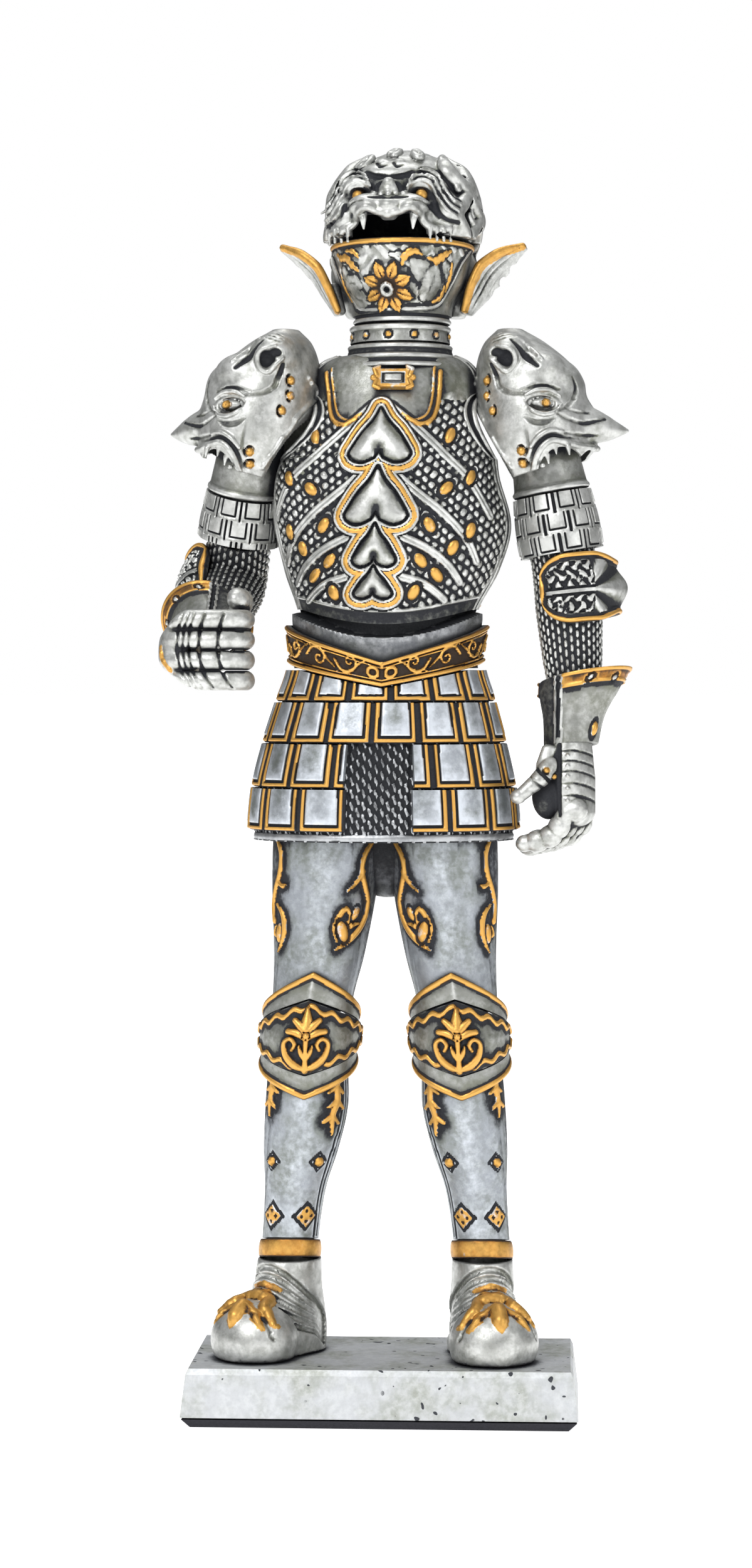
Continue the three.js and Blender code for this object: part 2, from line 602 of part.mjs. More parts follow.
// The right hand is a fist round an upright bore, with its four fingers one above the other.
function makeRightHand() {
  const middle = 121.0;
  add(
    "hand_plate_right",
    limb({
      stops: [
        { at: [-27.0, -16.3, 121.0], wide: 4.6, thick: 3.2 },
        { at: [-29.4, -18.6, 121.0], wide: 5.8, thick: 2.2 },
        { at: [-31.0, -21.0, middle], wide: 6.2, thick: 1.7 },
      ],
      across: [0, 0, 1],
      sides: 12,
      wall: 0.9,
    }),
    PEWTER,
  );
  for (let k = 0; k < FINGER_COUNT; k++) {
    const z = middle + ((FINGER_COUNT - 1) / 2 - k) * 3.25;
    const size = { wide: 1.45, thick: 1.3 };
    const stops = [
      { at: [-31.0, -22.3, z], ...size },
      { at: [-29.8, -24.6, z], ...size },
      { at: [-26.0, -25.8, z], ...size },
      { at: [-21.6, -25.6, z], ...size },
      { at: [-19.6, -23.4, z], ...size },
      { at: [-19.8, -20.6, z], wide: 1.1, thick: 0.9 },
    ];
    add(`finger_right_${k + 1}`, limb({ stops, across: [0, 0, 1], sides: 8 }), PEWTER);
  }
  const thumb = [
    { at: [-22.2, -17.2, 124.2], wide: 1.6, thick: 1.5 },
    { at: [-20.6, -17.0, 126.0], wide: 1.6, thick: 1.5 },
    { at: [-19.6, -18.6, 128.4], wide: 1.3, thick: 1.2 },
    { at: [-20.4, -22.0, 129.2], wide: 1.0, thick: 0.9 },
  ];
  add("thumb_right", limb({ stops: thumb, across: [0, 0, 1], sides: 8 }), PEWTER);
}

makePlinth();
makeTorso();
makeGorget();
makeSkirt();
makeHelm();
const mirroredLegs = mirroredGroup(LEG_MIRROR_X);
makeLeg("left", suit);
makeLeg("right", mirroredLegs);
makeFoot("left", suit, 13);
makeFoot("right", mirroredLegs, 34);
makePauldron("left", suit);
makePauldron("right", mirroredGroup(SHOULDER_MIRROR_X));
makeArm("left");
makeArm("right");
makeLeftHand();
makeRightHand();

export default suit;
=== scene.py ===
"""The finished surfaces of a pewter and gilt suit of plate armour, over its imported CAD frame.

A plate is a grid of points over the same form as its CAD node, with its ornament raised on it.
The beasts' faces, the wings and the hands are clay: a grid of distances, meshed where it is zero.
Lengths are in millimetres until a mesh is made. The suit faces -Y and its left side is at +X.
"""

import math

import bpy
import numpy as np
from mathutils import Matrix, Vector


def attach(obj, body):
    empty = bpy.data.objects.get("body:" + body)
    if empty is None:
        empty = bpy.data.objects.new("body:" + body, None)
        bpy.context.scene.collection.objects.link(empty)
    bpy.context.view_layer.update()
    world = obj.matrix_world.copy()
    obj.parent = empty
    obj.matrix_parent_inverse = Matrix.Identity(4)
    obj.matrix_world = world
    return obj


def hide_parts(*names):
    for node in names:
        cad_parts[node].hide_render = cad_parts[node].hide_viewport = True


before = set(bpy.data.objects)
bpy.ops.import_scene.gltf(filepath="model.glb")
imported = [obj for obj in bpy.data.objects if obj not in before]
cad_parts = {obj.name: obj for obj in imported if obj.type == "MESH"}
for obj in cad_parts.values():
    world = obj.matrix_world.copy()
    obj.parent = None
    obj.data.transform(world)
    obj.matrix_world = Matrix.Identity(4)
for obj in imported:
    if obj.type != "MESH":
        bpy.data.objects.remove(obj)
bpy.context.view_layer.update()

MM = 0.001
PITCH = 0.2  # spacing of the points on a plate
LINING_PITCH = 1.2  # spacing of the points on its inner face
WALL = 1.0
TRIANGLES_KEPT = 0.43  # share of each piece's triangles, which keeps the whole scene under a million
SMALL_MESH = 5000  # a mesh with fewer faces than this isn't thinned
SHARP = math.radians(60)  # an edge that turns by more than this is drawn sharp
CAD_SHARP = math.radians(40)
FAR = 9.0  # stands for a distance beyond anything drawn
HOLLOW_WIDTHS = (0.3, 1.0)  # a hollow is a place that lies lower than its surroundings within these widths
BLACK_DEPTH = 0.12  # how deep it is when the wash in it is fully black
LEG_MIRROR_X = 0.25
SHOULDER_MIRROR_X = 2.3


# ---- forms -----------------------------------------------------------------
# A form is a table of sections from the lowest up. Each row gives the height, the centre's x and y, the half
# width, and the reach to the front and to the back.
FRONT, BACK = 3, 4  # where section() gives the reaches
TORSO = np.array([
    [124.5, 0.6, 0.0, 13.0, 10.2, 9.6],
    [128.5, 0.8, 0.0, 14.2, 11.0, 10.2],
    [134.0, 1.4, 0.0, 16.6, 12.8, 11.4],
    [141.0, 1.9, 0.0, 17.9, 13.8, 12.2],
    [149.0, 2.0, 0.0, 15.6, 13.4, 12.4],
    [155.0, 2.1, 0.2, 14.0, 12.2, 11.8],
    [161.0, 2.0, 0.6, 13.2, 9.8, 10.4],
    [164.8, 1.8, 0.8, 12.9, 8.6, 9.2],
    [166.6, 1.9, 0.8, 11.2, 7.9, 8.2],
    [167.6, 2.0, 0.8, 8.8, 7.3, 7.4],
])
SKIRT = np.array([
    [91.2, 0.0, 0.5, 21.2, 15.6, 14.6],
    [99.4, 0.0, 0.5, 20.4, 15.0, 14.0],
    [106.4, 0.1, 0.4, 18.8, 13.8, 13.0],
    [112.9, 0.3, 0.3, 16.9, 12.6, 12.0],
    [119.2, 0.4, 0.2, 15.0, 11.6, 11.0],
    [126.0, 0.6, 0.0, 15.6, 12.2, 11.4],
])
THIGH = np.array([
    [61.0, 12.1, -1.0, 6.3, 6.6, 6.2],
    [66.0, 11.7, -0.8, 6.4, 6.8, 6.4],
    [73.0, 10.7, -0.4, 7.2, 7.4, 7.2],
    [83.0, 9.9, 0.0, 8.3, 8.2, 8.0],
    [91.0, 9.4, 0.2, 8.7, 8.6, 8.4],
    [100.0, 9.3, 0.4, 8.2, 8.4, 8.2],
])
SHIN = np.array([
    [23.6, 15.7, 2.2, 4.6, 4.9, 5.4],
    [27.6, 15.5, 2.2, 4.5, 4.8, 5.2],
    [35.4, 14.7, 1.8, 4.9, 5.2, 5.6],
    [42.0, 13.7, 1.2, 6.0, 5.8, 6.6],
    [48.6, 12.8, 0.6, 6.6, 6.2, 7.4],
    [55.0, 12.5, -0.2, 6.4, 6.2, 7.0],
    [60.4, 12.2, -0.8, 6.2, 6.2, 6.4],
])
KNEE_COP = np.array([
    [53.0, 12.5, -0.6, 7.4, 7.6, 7.0],
    [57.0, 12.3, -0.9, 7.8, 9.2, 7.2],
    [60.3, 12.1, -1.0, 8.0, 9.8, 7.2],
    [63.6, 11.9, -1.0, 7.9, 9.2, 7.2],
    [67.6, 11.6, -0.8, 7.6, 7.9, 7.2],
])


def section(form, z):
    """The rows of a form at any heights: a cubic through the table, so the form curves between its rows."""
    heights, values = form[:, 0], form[:, 1:]
    last = len(heights) - 1
    index = np.arange(last + 1)
    before, after = np.maximum(index - 1, 0), np.minimum(index + 1, last)
    slopes = (values[after] - values[before]) / (heights[after] - heights[before])[:, None]
    k = np.clip(np.searchsorted(heights, z, "right") - 1, 0, last - 1)
    span = (heights[k + 1] - heights[k])[..., None]
    t = np.clip((z - heights[k])[..., None] / span, 0, 1)
    a, b = values[k], values[k + 1]
    rise = t * t * (3 - 2 * t)
    leave = t * (1 - t) ** 2 * span * slopes[k]
    arrive = t * t * (t - 1) * span * slopes[k + 1]
    return a + (b - a) * rise + leave + arrive


def point_on(form, degrees, z, out=0.0):
    """Points of a form at an angle (0 is the front, 90 is +X) and a height, moved outwards."""
    degrees, z = np.broadcast_arrays(np.asarray(degrees, float), np.asarray(z, float))
    x, y, side, front, back = np.moveaxis(section(form, z), -1, 0)
    angle = np.radians(degrees)
    reach = np.where(np.cos(angle) > 0, front, back)
    return np.stack([x + (side + out) * np.sin(angle), y - (reach + out) * np.cos(angle), z], -1)


# ---- drawing on a surface ---------------------------------------------------
def curve(stops, pitch=0.4):
    """A smooth line through the stops, given as points about `pitch` apart."""
    stops = np.asarray(stops, float)
    if len(stops) < 3:
        return stops
    ends = np.vstack([2 * stops[0] - stops[1], stops, 2 * stops[-1] - stops[-2]])
    made = []
    for a, b, c, d in zip(ends, ends[1:], ends[2:], ends[3:]):
        count = max(2, int(np.linalg.norm(c - b) / pitch))
        t = (np.arange(count) / count)[:, None]
        made.append(0.5 * (2 * b + (c - a) * t + (2 * a - 5 * b + 4 * c - d) * t**2
                           + (3 * b - a - 3 * c + d) * t**3))
    return np.vstack([*made, stops[-1:]])


def spiral(at, radius, turns, start):
    """A scroll: a line that winds in from `radius` to nearly nothing, from the start angle in degrees."""
    end_radius, pitch = 0.25, 0.3
    count = max(8, int(abs(turns) * 2 * math.pi * radius / pitch))
    t = np.linspace(0, 1, count)
    r = radius * (1 - t) + end_radius * t
    angle = math.radians(start) + turns * 2 * math.pi * t
    return np.stack([at[0] + r * np.cos(angle), at[1] + r * np.sin(angle)], -1)


def lengths(path):
    """The distance along a path of each of its points."""
    return np.concatenate([[0], np.cumsum(np.linalg.norm(np.diff(path, axis=0), axis=1))])


def spread(values, count):
    """Values given at even stops along a line, or one for the whole line, as `count` values."""
    return np.interp(np.linspace(0, 1, count), np.linspace(0, 1, np.size(values)), np.atleast_1d(values))


def nearness(u, v, path, half):
    """The distance of points from a path over the path's half width there: 1 at the path's edge."""
    path = np.asarray(path, float)
    half = spread(half, len(path))
    best = np.full(u.shape, FAR)
    margin = half.max() * 1.5
    low, high = path.min(0) - margin, path.max(0) + margin
    near = (u > low[0]) & (u < high[0]) & (v > low[1]) & (v < high[1])
    if not near.any():
        return best
    pu, pv = u[near], v[near]
    found = np.full(pu.shape, FAR)
    for a, b, wa, wb in zip(path, path[1:], half, half[1:]):
        along = b - a
        length = max(float(along @ along), 1e-9)
        t = np.clip(((pu - a[0]) * along[0] + (pv - a[1]) * along[1]) / length, 0, 1)
        far = np.hypot(pu - a[0] - t * along[0], pv - a[1] - t * along[1])
        found = np.minimum(found, far / np.maximum(wa + (wb - wa) * t, 1e-3))
    best[near] = found
    return best


def distance_in(u, v, outline):
    """The distance of points from a closed outline, below zero inside it."""
    outline = np.asarray(outline, float)
    nearest = np.full(u.shape, 1e9)
    inside = np.zeros(u.shape, bool)
    for a, b in zip(outline, np.roll(outline, -1, 0)):
        along = b - a
        length = max(float(along @ along), 1e-9)
        t = np.clip(((u - a[0]) * along[0] + (v - a[1]) * along[1]) / length, 0, 1)
        nearest = np.minimum(nearest, np.hypot(u - a[0] - t * along[0], v - a[1] - t * along[1]))
        crosses = (a[1] > v) != (b[1] > v)
        rise = along[1] if abs(along[1]) > 1e-9 else 1e-9
        inside ^= crosses & (u < a[0] + along[0] * (v - a[1]) / rise)
    return np.where(inside, -nearest, nearest)


def rounded(q):
    """A half-round profile across a band, from its middle (q 0) to its edge (q 1)."""
    return np.sqrt(np.clip(1 - q * q, 0, 1))


def smooth_step(value, low, high):
    t = np.clip((value - low) / (high - low), 0, 1)
    return t * t * (3 - 2 * t)


def blurred(field, cells, wrap=False):
    """A field with each value spread over its neighbours, for telling hollows from high places."""
    for axis, size in enumerate(np.broadcast_to(cells, field.ndim)):
        if size < 0.3:
            continue
        reach = int(math.ceil(3 * size))
        weights = np.exp(-0.5 * (np.arange(-reach, reach + 1) / size) ** 2)
        weights /= weights.sum()
        padding = [(0, 0)] * field.ndim
        padding[axis] = (reach, reach)
        padded = np.pad(field, padding, "wrap" if wrap and axis == 0 else "edge")
        total = np.zeros(field.shape, np.float32)
        for k, weight in enumerate(weights):
            window = [slice(None)] * field.ndim
            window[axis] = slice(k, k + field.shape[axis])
            total += weight * padded[tuple(window)]
        field = total
    return field


# ---- meshes ----------------------------------------------------------------
def thin(piece):
    """Collapses a piece's flattest triangles until the share to keep is left. A small mesh stays as it is."""
    if len(piece.data.polygons) < SMALL_MESH:
        return
    piece.modifiers.new("thin", "DECIMATE").ratio = TRIANGLES_KEPT
    fine, graph = piece.data, bpy.context.evaluated_depsgraph_get()
    piece.data = bpy.data.meshes.new_from_object(piece.evaluated_get(graph))
    piece.modifiers.clear()
    bpy.data.meshes.remove(fine)
    piece.data.set_sharp_from_angle(angle=SHARP)


def make_mesh(name, points, quads, triangles, **values):
    """A mesh object in metres from points in millimetres, smooth but for its sharp edges."""
    quads = np.asarray(quads, np.int32).reshape(-1, 4)
    triangles = np.asarray(triangles, np.int32).reshape(-1, 3)
    mesh = bpy.data.meshes.new(name)
    mesh.vertices.add(len(points))
    mesh.vertices.foreach_set("co", (np.asarray(points) * MM).astype(np.float32).ravel())
    corners = np.concatenate([quads.ravel(), triangles.ravel()])
    mesh.loops.add(len(corners))
    mesh.loops.foreach_set("vertex_index", corners)
    starts = np.concatenate([np.arange(len(quads)) * 4, 4 * len(quads) + np.arange(len(triangles)) * 3])
    mesh.polygons.add(len(starts))
    mesh.polygons.foreach_set("loop_start", starts.astype(np.int32))
    mesh.update(calc_edges=True)
    mesh.polygons.foreach_set("use_smooth", np.ones(len(starts), bool))
    mesh.set_sharp_from_angle(angle=SHARP)
    for key, field in values.items():
        layer = mesh.attributes.new(key, "FLOAT", "POINT")
        layer.data.foreach_set("value", np.asarray(field, np.float32).ravel())
    mesh.validate()
    made = bpy.data.objects.new(name, mesh)
    bpy.context.scene.collection.objects.link(made)
    return made


def bridge(fine, coarse, flip):
    """Triangles between a finely and a coarsely stepped edge that run side by side."""
    made = []
    last_fine, last_coarse = len(fine) - 1, len(coarse) - 1
    i = j = 0
    while i < last_fine or j < last_coarse:
        next_fine = (i + 1) / last_fine if i < last_fine else FAR
        next_coarse = (j + 1) / last_coarse if j < last_coarse else FAR
        if next_fine <= next_coarse:
            made.append((fine[i], fine[i + 1], coarse[j]))
            i += 1
        else:
            made.append((fine[i], coarse[j + 1], coarse[j]))
            j += 1
    return [(c, b, a) for a, b, c in made] if flip else made


def grid_quads(index, full):
    """The quads of a grid of point numbers. A full grid is closed from its last column to its first."""
    ahead = np.roll(index, -1, 0) if full else index[1:]
    here = index if full else index[:-1]
    return np.stack([here[:, :-1], ahead[:, :-1], ahead[:, 1:], here[:, 1:]], -1).reshape(-1, 4)


def constant(value):
    """A limit that may be given as a number or as a function."""
    return value if callable(value) else lambda _: np.asarray(value, float)


class Sheet:
    """A plate over a form, from one angle to another and one height to another.

    u is the distance round the form from its middle angle, and z the height. h is the relief, gold is 1 where
    it is gilt, and dark is 1 where it is left black. dark also paints shade, and below zero it brightens, for
    rubbed places and painted highlights alike.
    """

    def __init__(self, form, left, right, low, high, inner=-WALL, outer=0.0, middle=0.0, pitch=PITCH):
        self.form, self.inner, self.outer, self.pitch = form, inner, outer, pitch
        low, high, left, right = constant(low), constant(high), constant(left), constant(right)
        self.low, self.high, self.left, self.right = low, high, left, right
        mid = 0.5 * (low(0.0) + high(0.0))
        start, stop = float(left(mid)), float(right(mid))
        self.full = stop - start >= 359.9
        self.span = (start, stop)
        around = np.linspace(start, stop, 400)
        girth = lengths(self.surface(around, np.full(around.shape, mid), 0.0))
        columns = max(8, int(girth[-1] / pitch))
        tall = max(float(np.max(high(around) - low(around))), pitch)
        even = np.interp(np.linspace(0, girth[-1], columns + 1), girth, np.linspace(0, 1, 400))
        if self.full:
            even = even[:-1]
        self.even, self.rise = even, np.linspace(0, 1, max(4, int(tall / pitch)) + 1)
        self.degrees, self.z = self.place(self.even, self.rise)
        self.points = self.surface(self.degrees, self.z, self.lift(outer))
        self.u = self.arc(middle)
        self.h, self.gold, self.dark = np.zeros((3, *self.z.shape), np.float32)

    def surface(self, degrees, z, out):
        return point_on(self.form, degrees, z, out)

    def lift(self, value):
        return value(self.degrees, self.z) if callable(value) else value

    def place(self, even, rise):
        nominal = (self.span[0] + (self.span[1] - self.span[0]) * even)[:, None]
        low, high = self.low(nominal), self.high(nominal)
        z = low + (high - low) * rise[None, :]
        a, b = self.left(z), self.right(z)
        return a + (b - a) * even[:, None] + 0 * z, z + 0 * even[:, None]

    def arc(self, middle):
        steps = np.linalg.norm(np.diff(self.points, axis=0), axis=2)
        along = np.concatenate([np.zeros((1, self.z.shape[1])), np.cumsum(steps, 0)])
        zero = np.array([np.interp(middle, self.degrees[:, j], along[:, j]) for j in range(along.shape[1])])
        return along - zero[None, :]

    # Drawing: each call raises, sinks, gilds or blackens the plate along a path, round a spot or in a region.
    def across(self, mirror):
        return np.abs(self.u) if mirror else self.u

    def ridge(self, path, half, height, gold=None, mirror=False, flat=False):
        q = nearness(self.across(mirror), self.z, path, half)
        shape = np.clip((1 - q) * 3, 0, 1) if flat else rounded(q)
        self.lay(q < 1, h=np.maximum(self.h, height * shape))
        if gold is not None:
            self.lay(q < 1.02, gold=gold)
        return q

    def groove(self, path, half, depth, mirror=False, dark=0.0):
        q = nearness(self.across(mirror), self.z, path, half)
        self.h = self.h - depth * rounded(q) * (q < 1)
        self.dark = np.maximum(self.dark, dark * (q < 0.8))

    def lay(self, where, **values):
        """Sets the relief (h), the gilding (gold) or the black wash and painted light (dark) where a
        condition holds.
        """
        for key, value in values.items():
            setattr(self, key, np.where(where, value, getattr(self, key)))

    def rib(self, distance, half, height=0.3):
        """A half-round rib as wide as twice `half`, from the distance of each point to its middle line."""
        q = np.abs(distance) / half
        self.lay(q < 1, h=height * rounded(q))
        return q

    def blacken(self, distance, half, dark):
        """Blackens a line and leaves the rest bare."""
        self.dark = (dark * (np.abs(distance) < half)).astype(np.float32)

    def knob(self, at, size, height, turn=0.0, gold=None, mirror=False, ring=0.0):
        """A domed oval, with a sunk ring about it."""
        u, v = self.across(mirror) - at[0], self.z - at[1]
        c, s = math.cos(math.radians(turn)), math.sin(math.radians(turn))
        q = np.hypot((u * c + v * s) / size[0], (v * c - u * s) / size[1])
        if ring:
            q_ring = np.abs(q - 1 - ring) / ring
            self.lay(q_ring < 1, h=np.minimum(self.h, -0.15 * rounded(q_ring)))
            self.lay(q_ring < 0.7, dark=np.maximum(self.dark, 0.6))
        self.lay(q < 1, h=height * rounded(q) + 0.05, dark=0)
        if gold is not None:
            self.lay(q < 1.05, gold=gold)

    def build(self, name, slot, place=np.eye(4), metal=None):
        points = self.points
        round_way = (np.roll(points, -1, 0) - np.roll(points, 1, 0)) if self.full else np.gradient(points,
                                                                                                   axis=0)
        normal = np.cross(round_way, np.gradient(points, axis=1))
        normal /= np.maximum(np.linalg.norm(normal, axis=2, keepdims=True), 1e-9)
        skin = points + normal * self.h[..., None]
        recess = sum(blurred(self.h, size / self.pitch, self.full) - self.h for size in HOLLOW_WIDTHS)
        # The hollows' wash, with the painted shade and highlights that dark gives added.
        recess = np.clip(recess / BLACK_DEPTH / len(HOLLOW_WIDTHS), -1, 1) + self.dark
        coarse = max(1, int(LINING_PITCH / self.pitch))
        pick_i = np.unique(np.r_[np.arange(0, len(self.even), coarse), len(self.even) - 1])
        if self.full:
            pick_i = np.arange(0, len(self.even), coarse)
        pick_j = np.unique(np.r_[np.arange(0, len(self.rise), coarse), len(self.rise) - 1])
        degrees, z = self.degrees[np.ix_(pick_i, pick_j)], self.z[np.ix_(pick_i, pick_j)]
        inner_out = self.inner(degrees, z) if callable(self.inner) else self.inner
        lining = self.surface(degrees, z, inner_out)
        outer_index = np.arange(skin[..., 0].size).reshape(skin.shape[:2])
        inner_index = outer_index.size + np.arange(lining[..., 0].size).reshape(lining.shape[:2])
        quads = np.vstack([grid_quads(outer_index, self.full), grid_quads(inner_index, self.full)[:, ::-1]])
        closed = (lambda line: [*line, line[0]]) if self.full else list
        rims = bridge(closed(outer_index[:, 0]), closed(inner_index[:, 0]), True)
        rims += bridge(closed(outer_index[:, -1]), closed(inner_index[:, -1]), False)
        if not self.full:
            rims += bridge(list(outer_index[0]), list(inner_index[0]), False)
            rims += bridge(list(outer_index[-1]), list(inner_index[-1]), True)
        all_points = np.vstack([skin.reshape(-1, 3), lining.reshape(-1, 3)])
        pad = np.zeros(lining[..., 0].size)
        values = {
            "recess": np.concatenate([recess.ravel(), pad]),
            "gold": np.concatenate([self.gold.ravel(), pad]),
        }
        return finish_piece(name, [name], all_points, quads, rims, place, metal, values)


class Tube(Sheet):
    """A plate round a path. Its z is the distance along the path, and its angle is taken from `across`."""

    def __init__(self, path, radii, across, pitch=PITCH, **how):
        self.path = np.asarray(path, float)
        self.along = lengths(self.path)
        self.radii, self.wide = np.asarray(radii, float), np.asarray(across, float)
        super().__init__(None, -180, 180, 0.0, self.along[-1], pitch=pitch, **how)

    def surface(self, degrees, z, out):
        centre = np.stack([np.interp(z, self.along, self.path[:, k]) for k in range(3)], -1)
        ahead = np.stack([np.interp(z, self.along, slope) for slope in np.gradient(self.path, axis=0).T], -1)
        ahead /= np.linalg.norm(ahead, axis=-1, keepdims=True)
        u = self.wide - ahead * (ahead @ self.wide)[..., None]
        u /= np.linalg.norm(u, axis=-1, keepdims=True)
        v = np.cross(ahead, u)
        radius = np.interp(z, self.along, self.radii) + out
        angle = np.radians(degrees)
        return centre + radius[..., None] * (u * np.cos(angle)[..., None] + v * np.sin(angle)[..., None])


def finish_piece(name, nodes, points, quads, triangles, place, metal, values):
    """Places a piece's points, makes its mesh and ties it to the CAD nodes that it stands for."""
    place = np.asarray(place, float)
    points = points @ place[:3, :3].T + place[:3, 3]
    quads, triangles = np.asarray(quads).reshape(-1, 4), np.asarray(triangles, int).reshape(-1, 3)
    if np.linalg.det(place[:3, :3]) < 0:
        quads, triangles = quads[:, ::-1], triangles[:, ::-1]
    piece = make_mesh(f"{name}_cast", points, quads, triangles, **values)
    thin(piece)
    piece.data.materials.append(metal or METALS["pewter"])
    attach(piece, "root")
    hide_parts(*nodes)
    return piece


def mirrored(x):
    made = np.diag([-1.0, 1, 1, 1])
    made[0, 3] = 2 * x
    return made


def turned(at, turn):
    """A place from a position and a turn about X, then Y, then Z of the turned piece."""
    x, y, z = np.radians(turn)
    about_x = np.array([[1, 0, 0], [0, math.cos(x), -math.sin(x)], [0, math.sin(x), math.cos(x)]])
    about_y = np.array([[math.cos(y), 0, math.sin(y)], [0, 1, 0], [-math.sin(y), 0, math.cos(y)]])
    about_z = np.array([[math.cos(z), -math.sin(z), 0], [math.sin(z), math.cos(z), 0], [0, 0, 1]])
    made = np.eye(4)
    made[:3, :3] = about_x @ about_y @ about_z
    made[:3, 3] = at
    return made


# ---- clay ------------------------------------------------------------------
class Clay:
    """A block of distances to a surface: below zero inside. Shapes are added, pressed in, and gilded."""

    def __init__(self, low, high, step):
        self.low, self.step = np.asarray(low, float), step
        counts = np.ceil((np.asarray(high, float) - self.low) / step).astype(int) + 1
        self.field = np.full(counts, 3.0, np.float32)
        self.gold, self.dark = np.zeros(counts, np.float32), np.zeros(counts, np.float32)

    def window(self, low, high):
        """The part of the block between two corners, and the places of its points."""
        first = np.clip(((np.asarray(low) - self.low) / self.step).astype(int), 0,
                        np.array(self.field.shape) - 1)
        last = np.clip(((np.asarray(high) - self.low) / self.step).astype(int) + 2, 1, self.field.shape)
        part = tuple(slice(a, b) for a, b in zip(first, last))
        axes = [self.low[k] + self.step * np.arange(first[k], last[k]) for k in range(3)]
        return part, np.meshgrid(*axes, indexing="ij")

    def join(self, part, distance, blend, cut=False, gold=None, dark=None, rim=0.0):
        """Adds a shape, or presses it in. Its surface runs smoothly into the rest over `blend`."""
        here = self.field[part]
        other = -distance if cut else distance
        k = max(blend, 1e-4)
        mix = np.clip(k - np.abs(here - other), 0, None) ** 2 / (4 * k)
        self.field[part] = np.maximum(here, other) + mix if cut else np.minimum(here, other) - mix
        if gold is not None:
            self.gold[part] = np.where(distance < rim, gold, self.gold[part])
        if dark is not None:
            self.dark[part] = np.where(distance < rim, dark, self.dark[part])

    def ball(self, at, radii, blend=0.6, **how):
        at, radii = np.asarray(at, float), np.broadcast_to(np.asarray(radii, float), 3)
        reach = radii.max() + blend + 2 * self.step
        part, (x, y, z) = self.window(at - reach, at + reach)
        offset = np.stack([x - at[0], y - at[1], z - at[2]], -1)
        q = np.linalg.norm(offset / radii, axis=-1)
        steep = np.linalg.norm(offset / radii**2, axis=-1)
        self.join(part, q * (q - 1) / np.maximum(steep, 1e-6), blend, **how)

    def strand(self, path, radius, blend=0.3, **how):
        """A round strand along a path, with its radius given at the path's stops, or one for all."""
        path = np.asarray(path, float)
        radius = spread(radius, len(path))
        margin = radius.max() + blend + 2 * self.step
        part, (x, y, z) = self.window(path.min(0) - margin, path.max(0) + margin)
        distance = np.full(x.shape, FAR, np.float32)
        for a, b, ra, rb in zip(path, path[1:], radius, radius[1:]):
            along = b - a
            ahead = (x - a[0]) * along[0] + (y - a[1]) * along[1] + (z - a[2]) * along[2]
            t = np.clip(ahead / max(along @ along, 1e-9), 0, 1)
            px, py, pz = x - a[0] - t * along[0], y - a[1] - t * along[1], z - a[2] - t * along[2]
            far = np.sqrt(px**2 + py**2 + pz**2)
            distance = np.minimum(distance, far - (ra + (rb - ra) * t))
        self.join(part, distance, blend, **how)

    def blade(self, path, wide, thick, across, blend=0.3, **how):
        """A flat strand along a path: its half width runs along `across`."""
        path, across = np.asarray(path, float), np.asarray(across, float)
        wide, thick = spread(wide, len(path)), spread(thick, len(path))
        margin = max(wide.max(), thick.max()) + blend + 2 * self.step
        part, (x, y, z) = self.window(path.min(0) - margin, path.max(0) + margin)
        best = np.full(x.shape, FAR, np.float32)
        for k in range(len(path) - 1):
            along = path[k + 1] - path[k]
            offset = np.stack([x, y, z], -1) - path[k]
            t = np.clip(offset @ along / max(along @ along, 1e-9), 0, 1)
            offset -= t[..., None] * along
            u = across - along * (along @ across) / max(along @ along, 1e-9)
            u /= np.linalg.norm(u)
            sideways_by = offset @ u
            upright = np.linalg.norm(offset - sideways_by[..., None] * u, axis=-1)
            a, b = wide[k] + t * (wide[k + 1] - wide[k]), thick[k] + t * (thick[k + 1] - thick[k])
            q = np.hypot(sideways_by / a, upright / b)
            steep = np.hypot(sideways_by / a**2, upright / b**2)
            best = np.minimum(best, np.where(q > 0.05, q * (q - 1) / np.maximum(steep, 1e-6), -b))
        self.join(part, best, blend, **how)

    def body(self, form, low, high, out=0.0, blend=0.01, **how):
        """The filled body of a form between two heights."""
        wide = 99.0  # further than any block reaches
        part, (x, y, z) = self.window([-wide, -wide, low - 2], [wide, wide, high + 2])
        rows = section(form, np.clip(z[0, 0], form[0, 0], form[-1, 0]))
        cx, cy, side, front, back = np.moveaxis(rows, -1, 0)[:, None, None, :]
        reach = np.where(y < cy, front, back) + out
        side, reach = np.maximum(side + out, 0.2), np.maximum(reach, 0.2)
        q = np.hypot((x - cx) / side, (y - cy) / reach)
        steep = np.hypot((x - cx) / side**2, (y - cy) / reach**2)
        distance = q * (q - 1) / np.maximum(steep, 1e-6)
        distance = np.maximum(distance, np.maximum(low - z, z - high))
        self.join(part, distance.astype(np.float32), blend, **how)

    def slab(self, at, size, turn=(0, 0, 0), blend=0.01, **how):
        """A box, given by its middle and its size."""
        part, (x, y, z) = self.window(self.low, self.low + self.step * np.array(self.field.shape))
        offset = np.stack([x - at[0], y - at[1], z - at[2]], -1) @ turned((0, 0, 0), turn)[:3, :3]
        distance = np.max(np.abs(offset) - np.asarray(size) / 2, axis=-1)
        self.join(part, distance.astype(np.float32), blend, **how)

    def front(self, x, z):
        """How far forward (-Y) the clay reaches at a place seen from the front."""
        i = np.clip(((x - self.low[0]) / self.step), 0, self.field.shape[0] - 1.001)
        k = np.clip(((z - self.low[2]) / self.step), 0, self.field.shape[2] - 1.001)
        column = self.field[int(round(i)), :, int(round(k))]
        inside = np.flatnonzero(column < 0)
        if not len(inside):
            return self.low[1] + self.step * self.field.shape[1] / 2
        j = inside[0]
        a, b = column[max(j - 1, 0)], column[j]
        part = a / (a - b) if a > b else 0
        return self.low[1] + self.step * (max(j - 1, 0) + part)

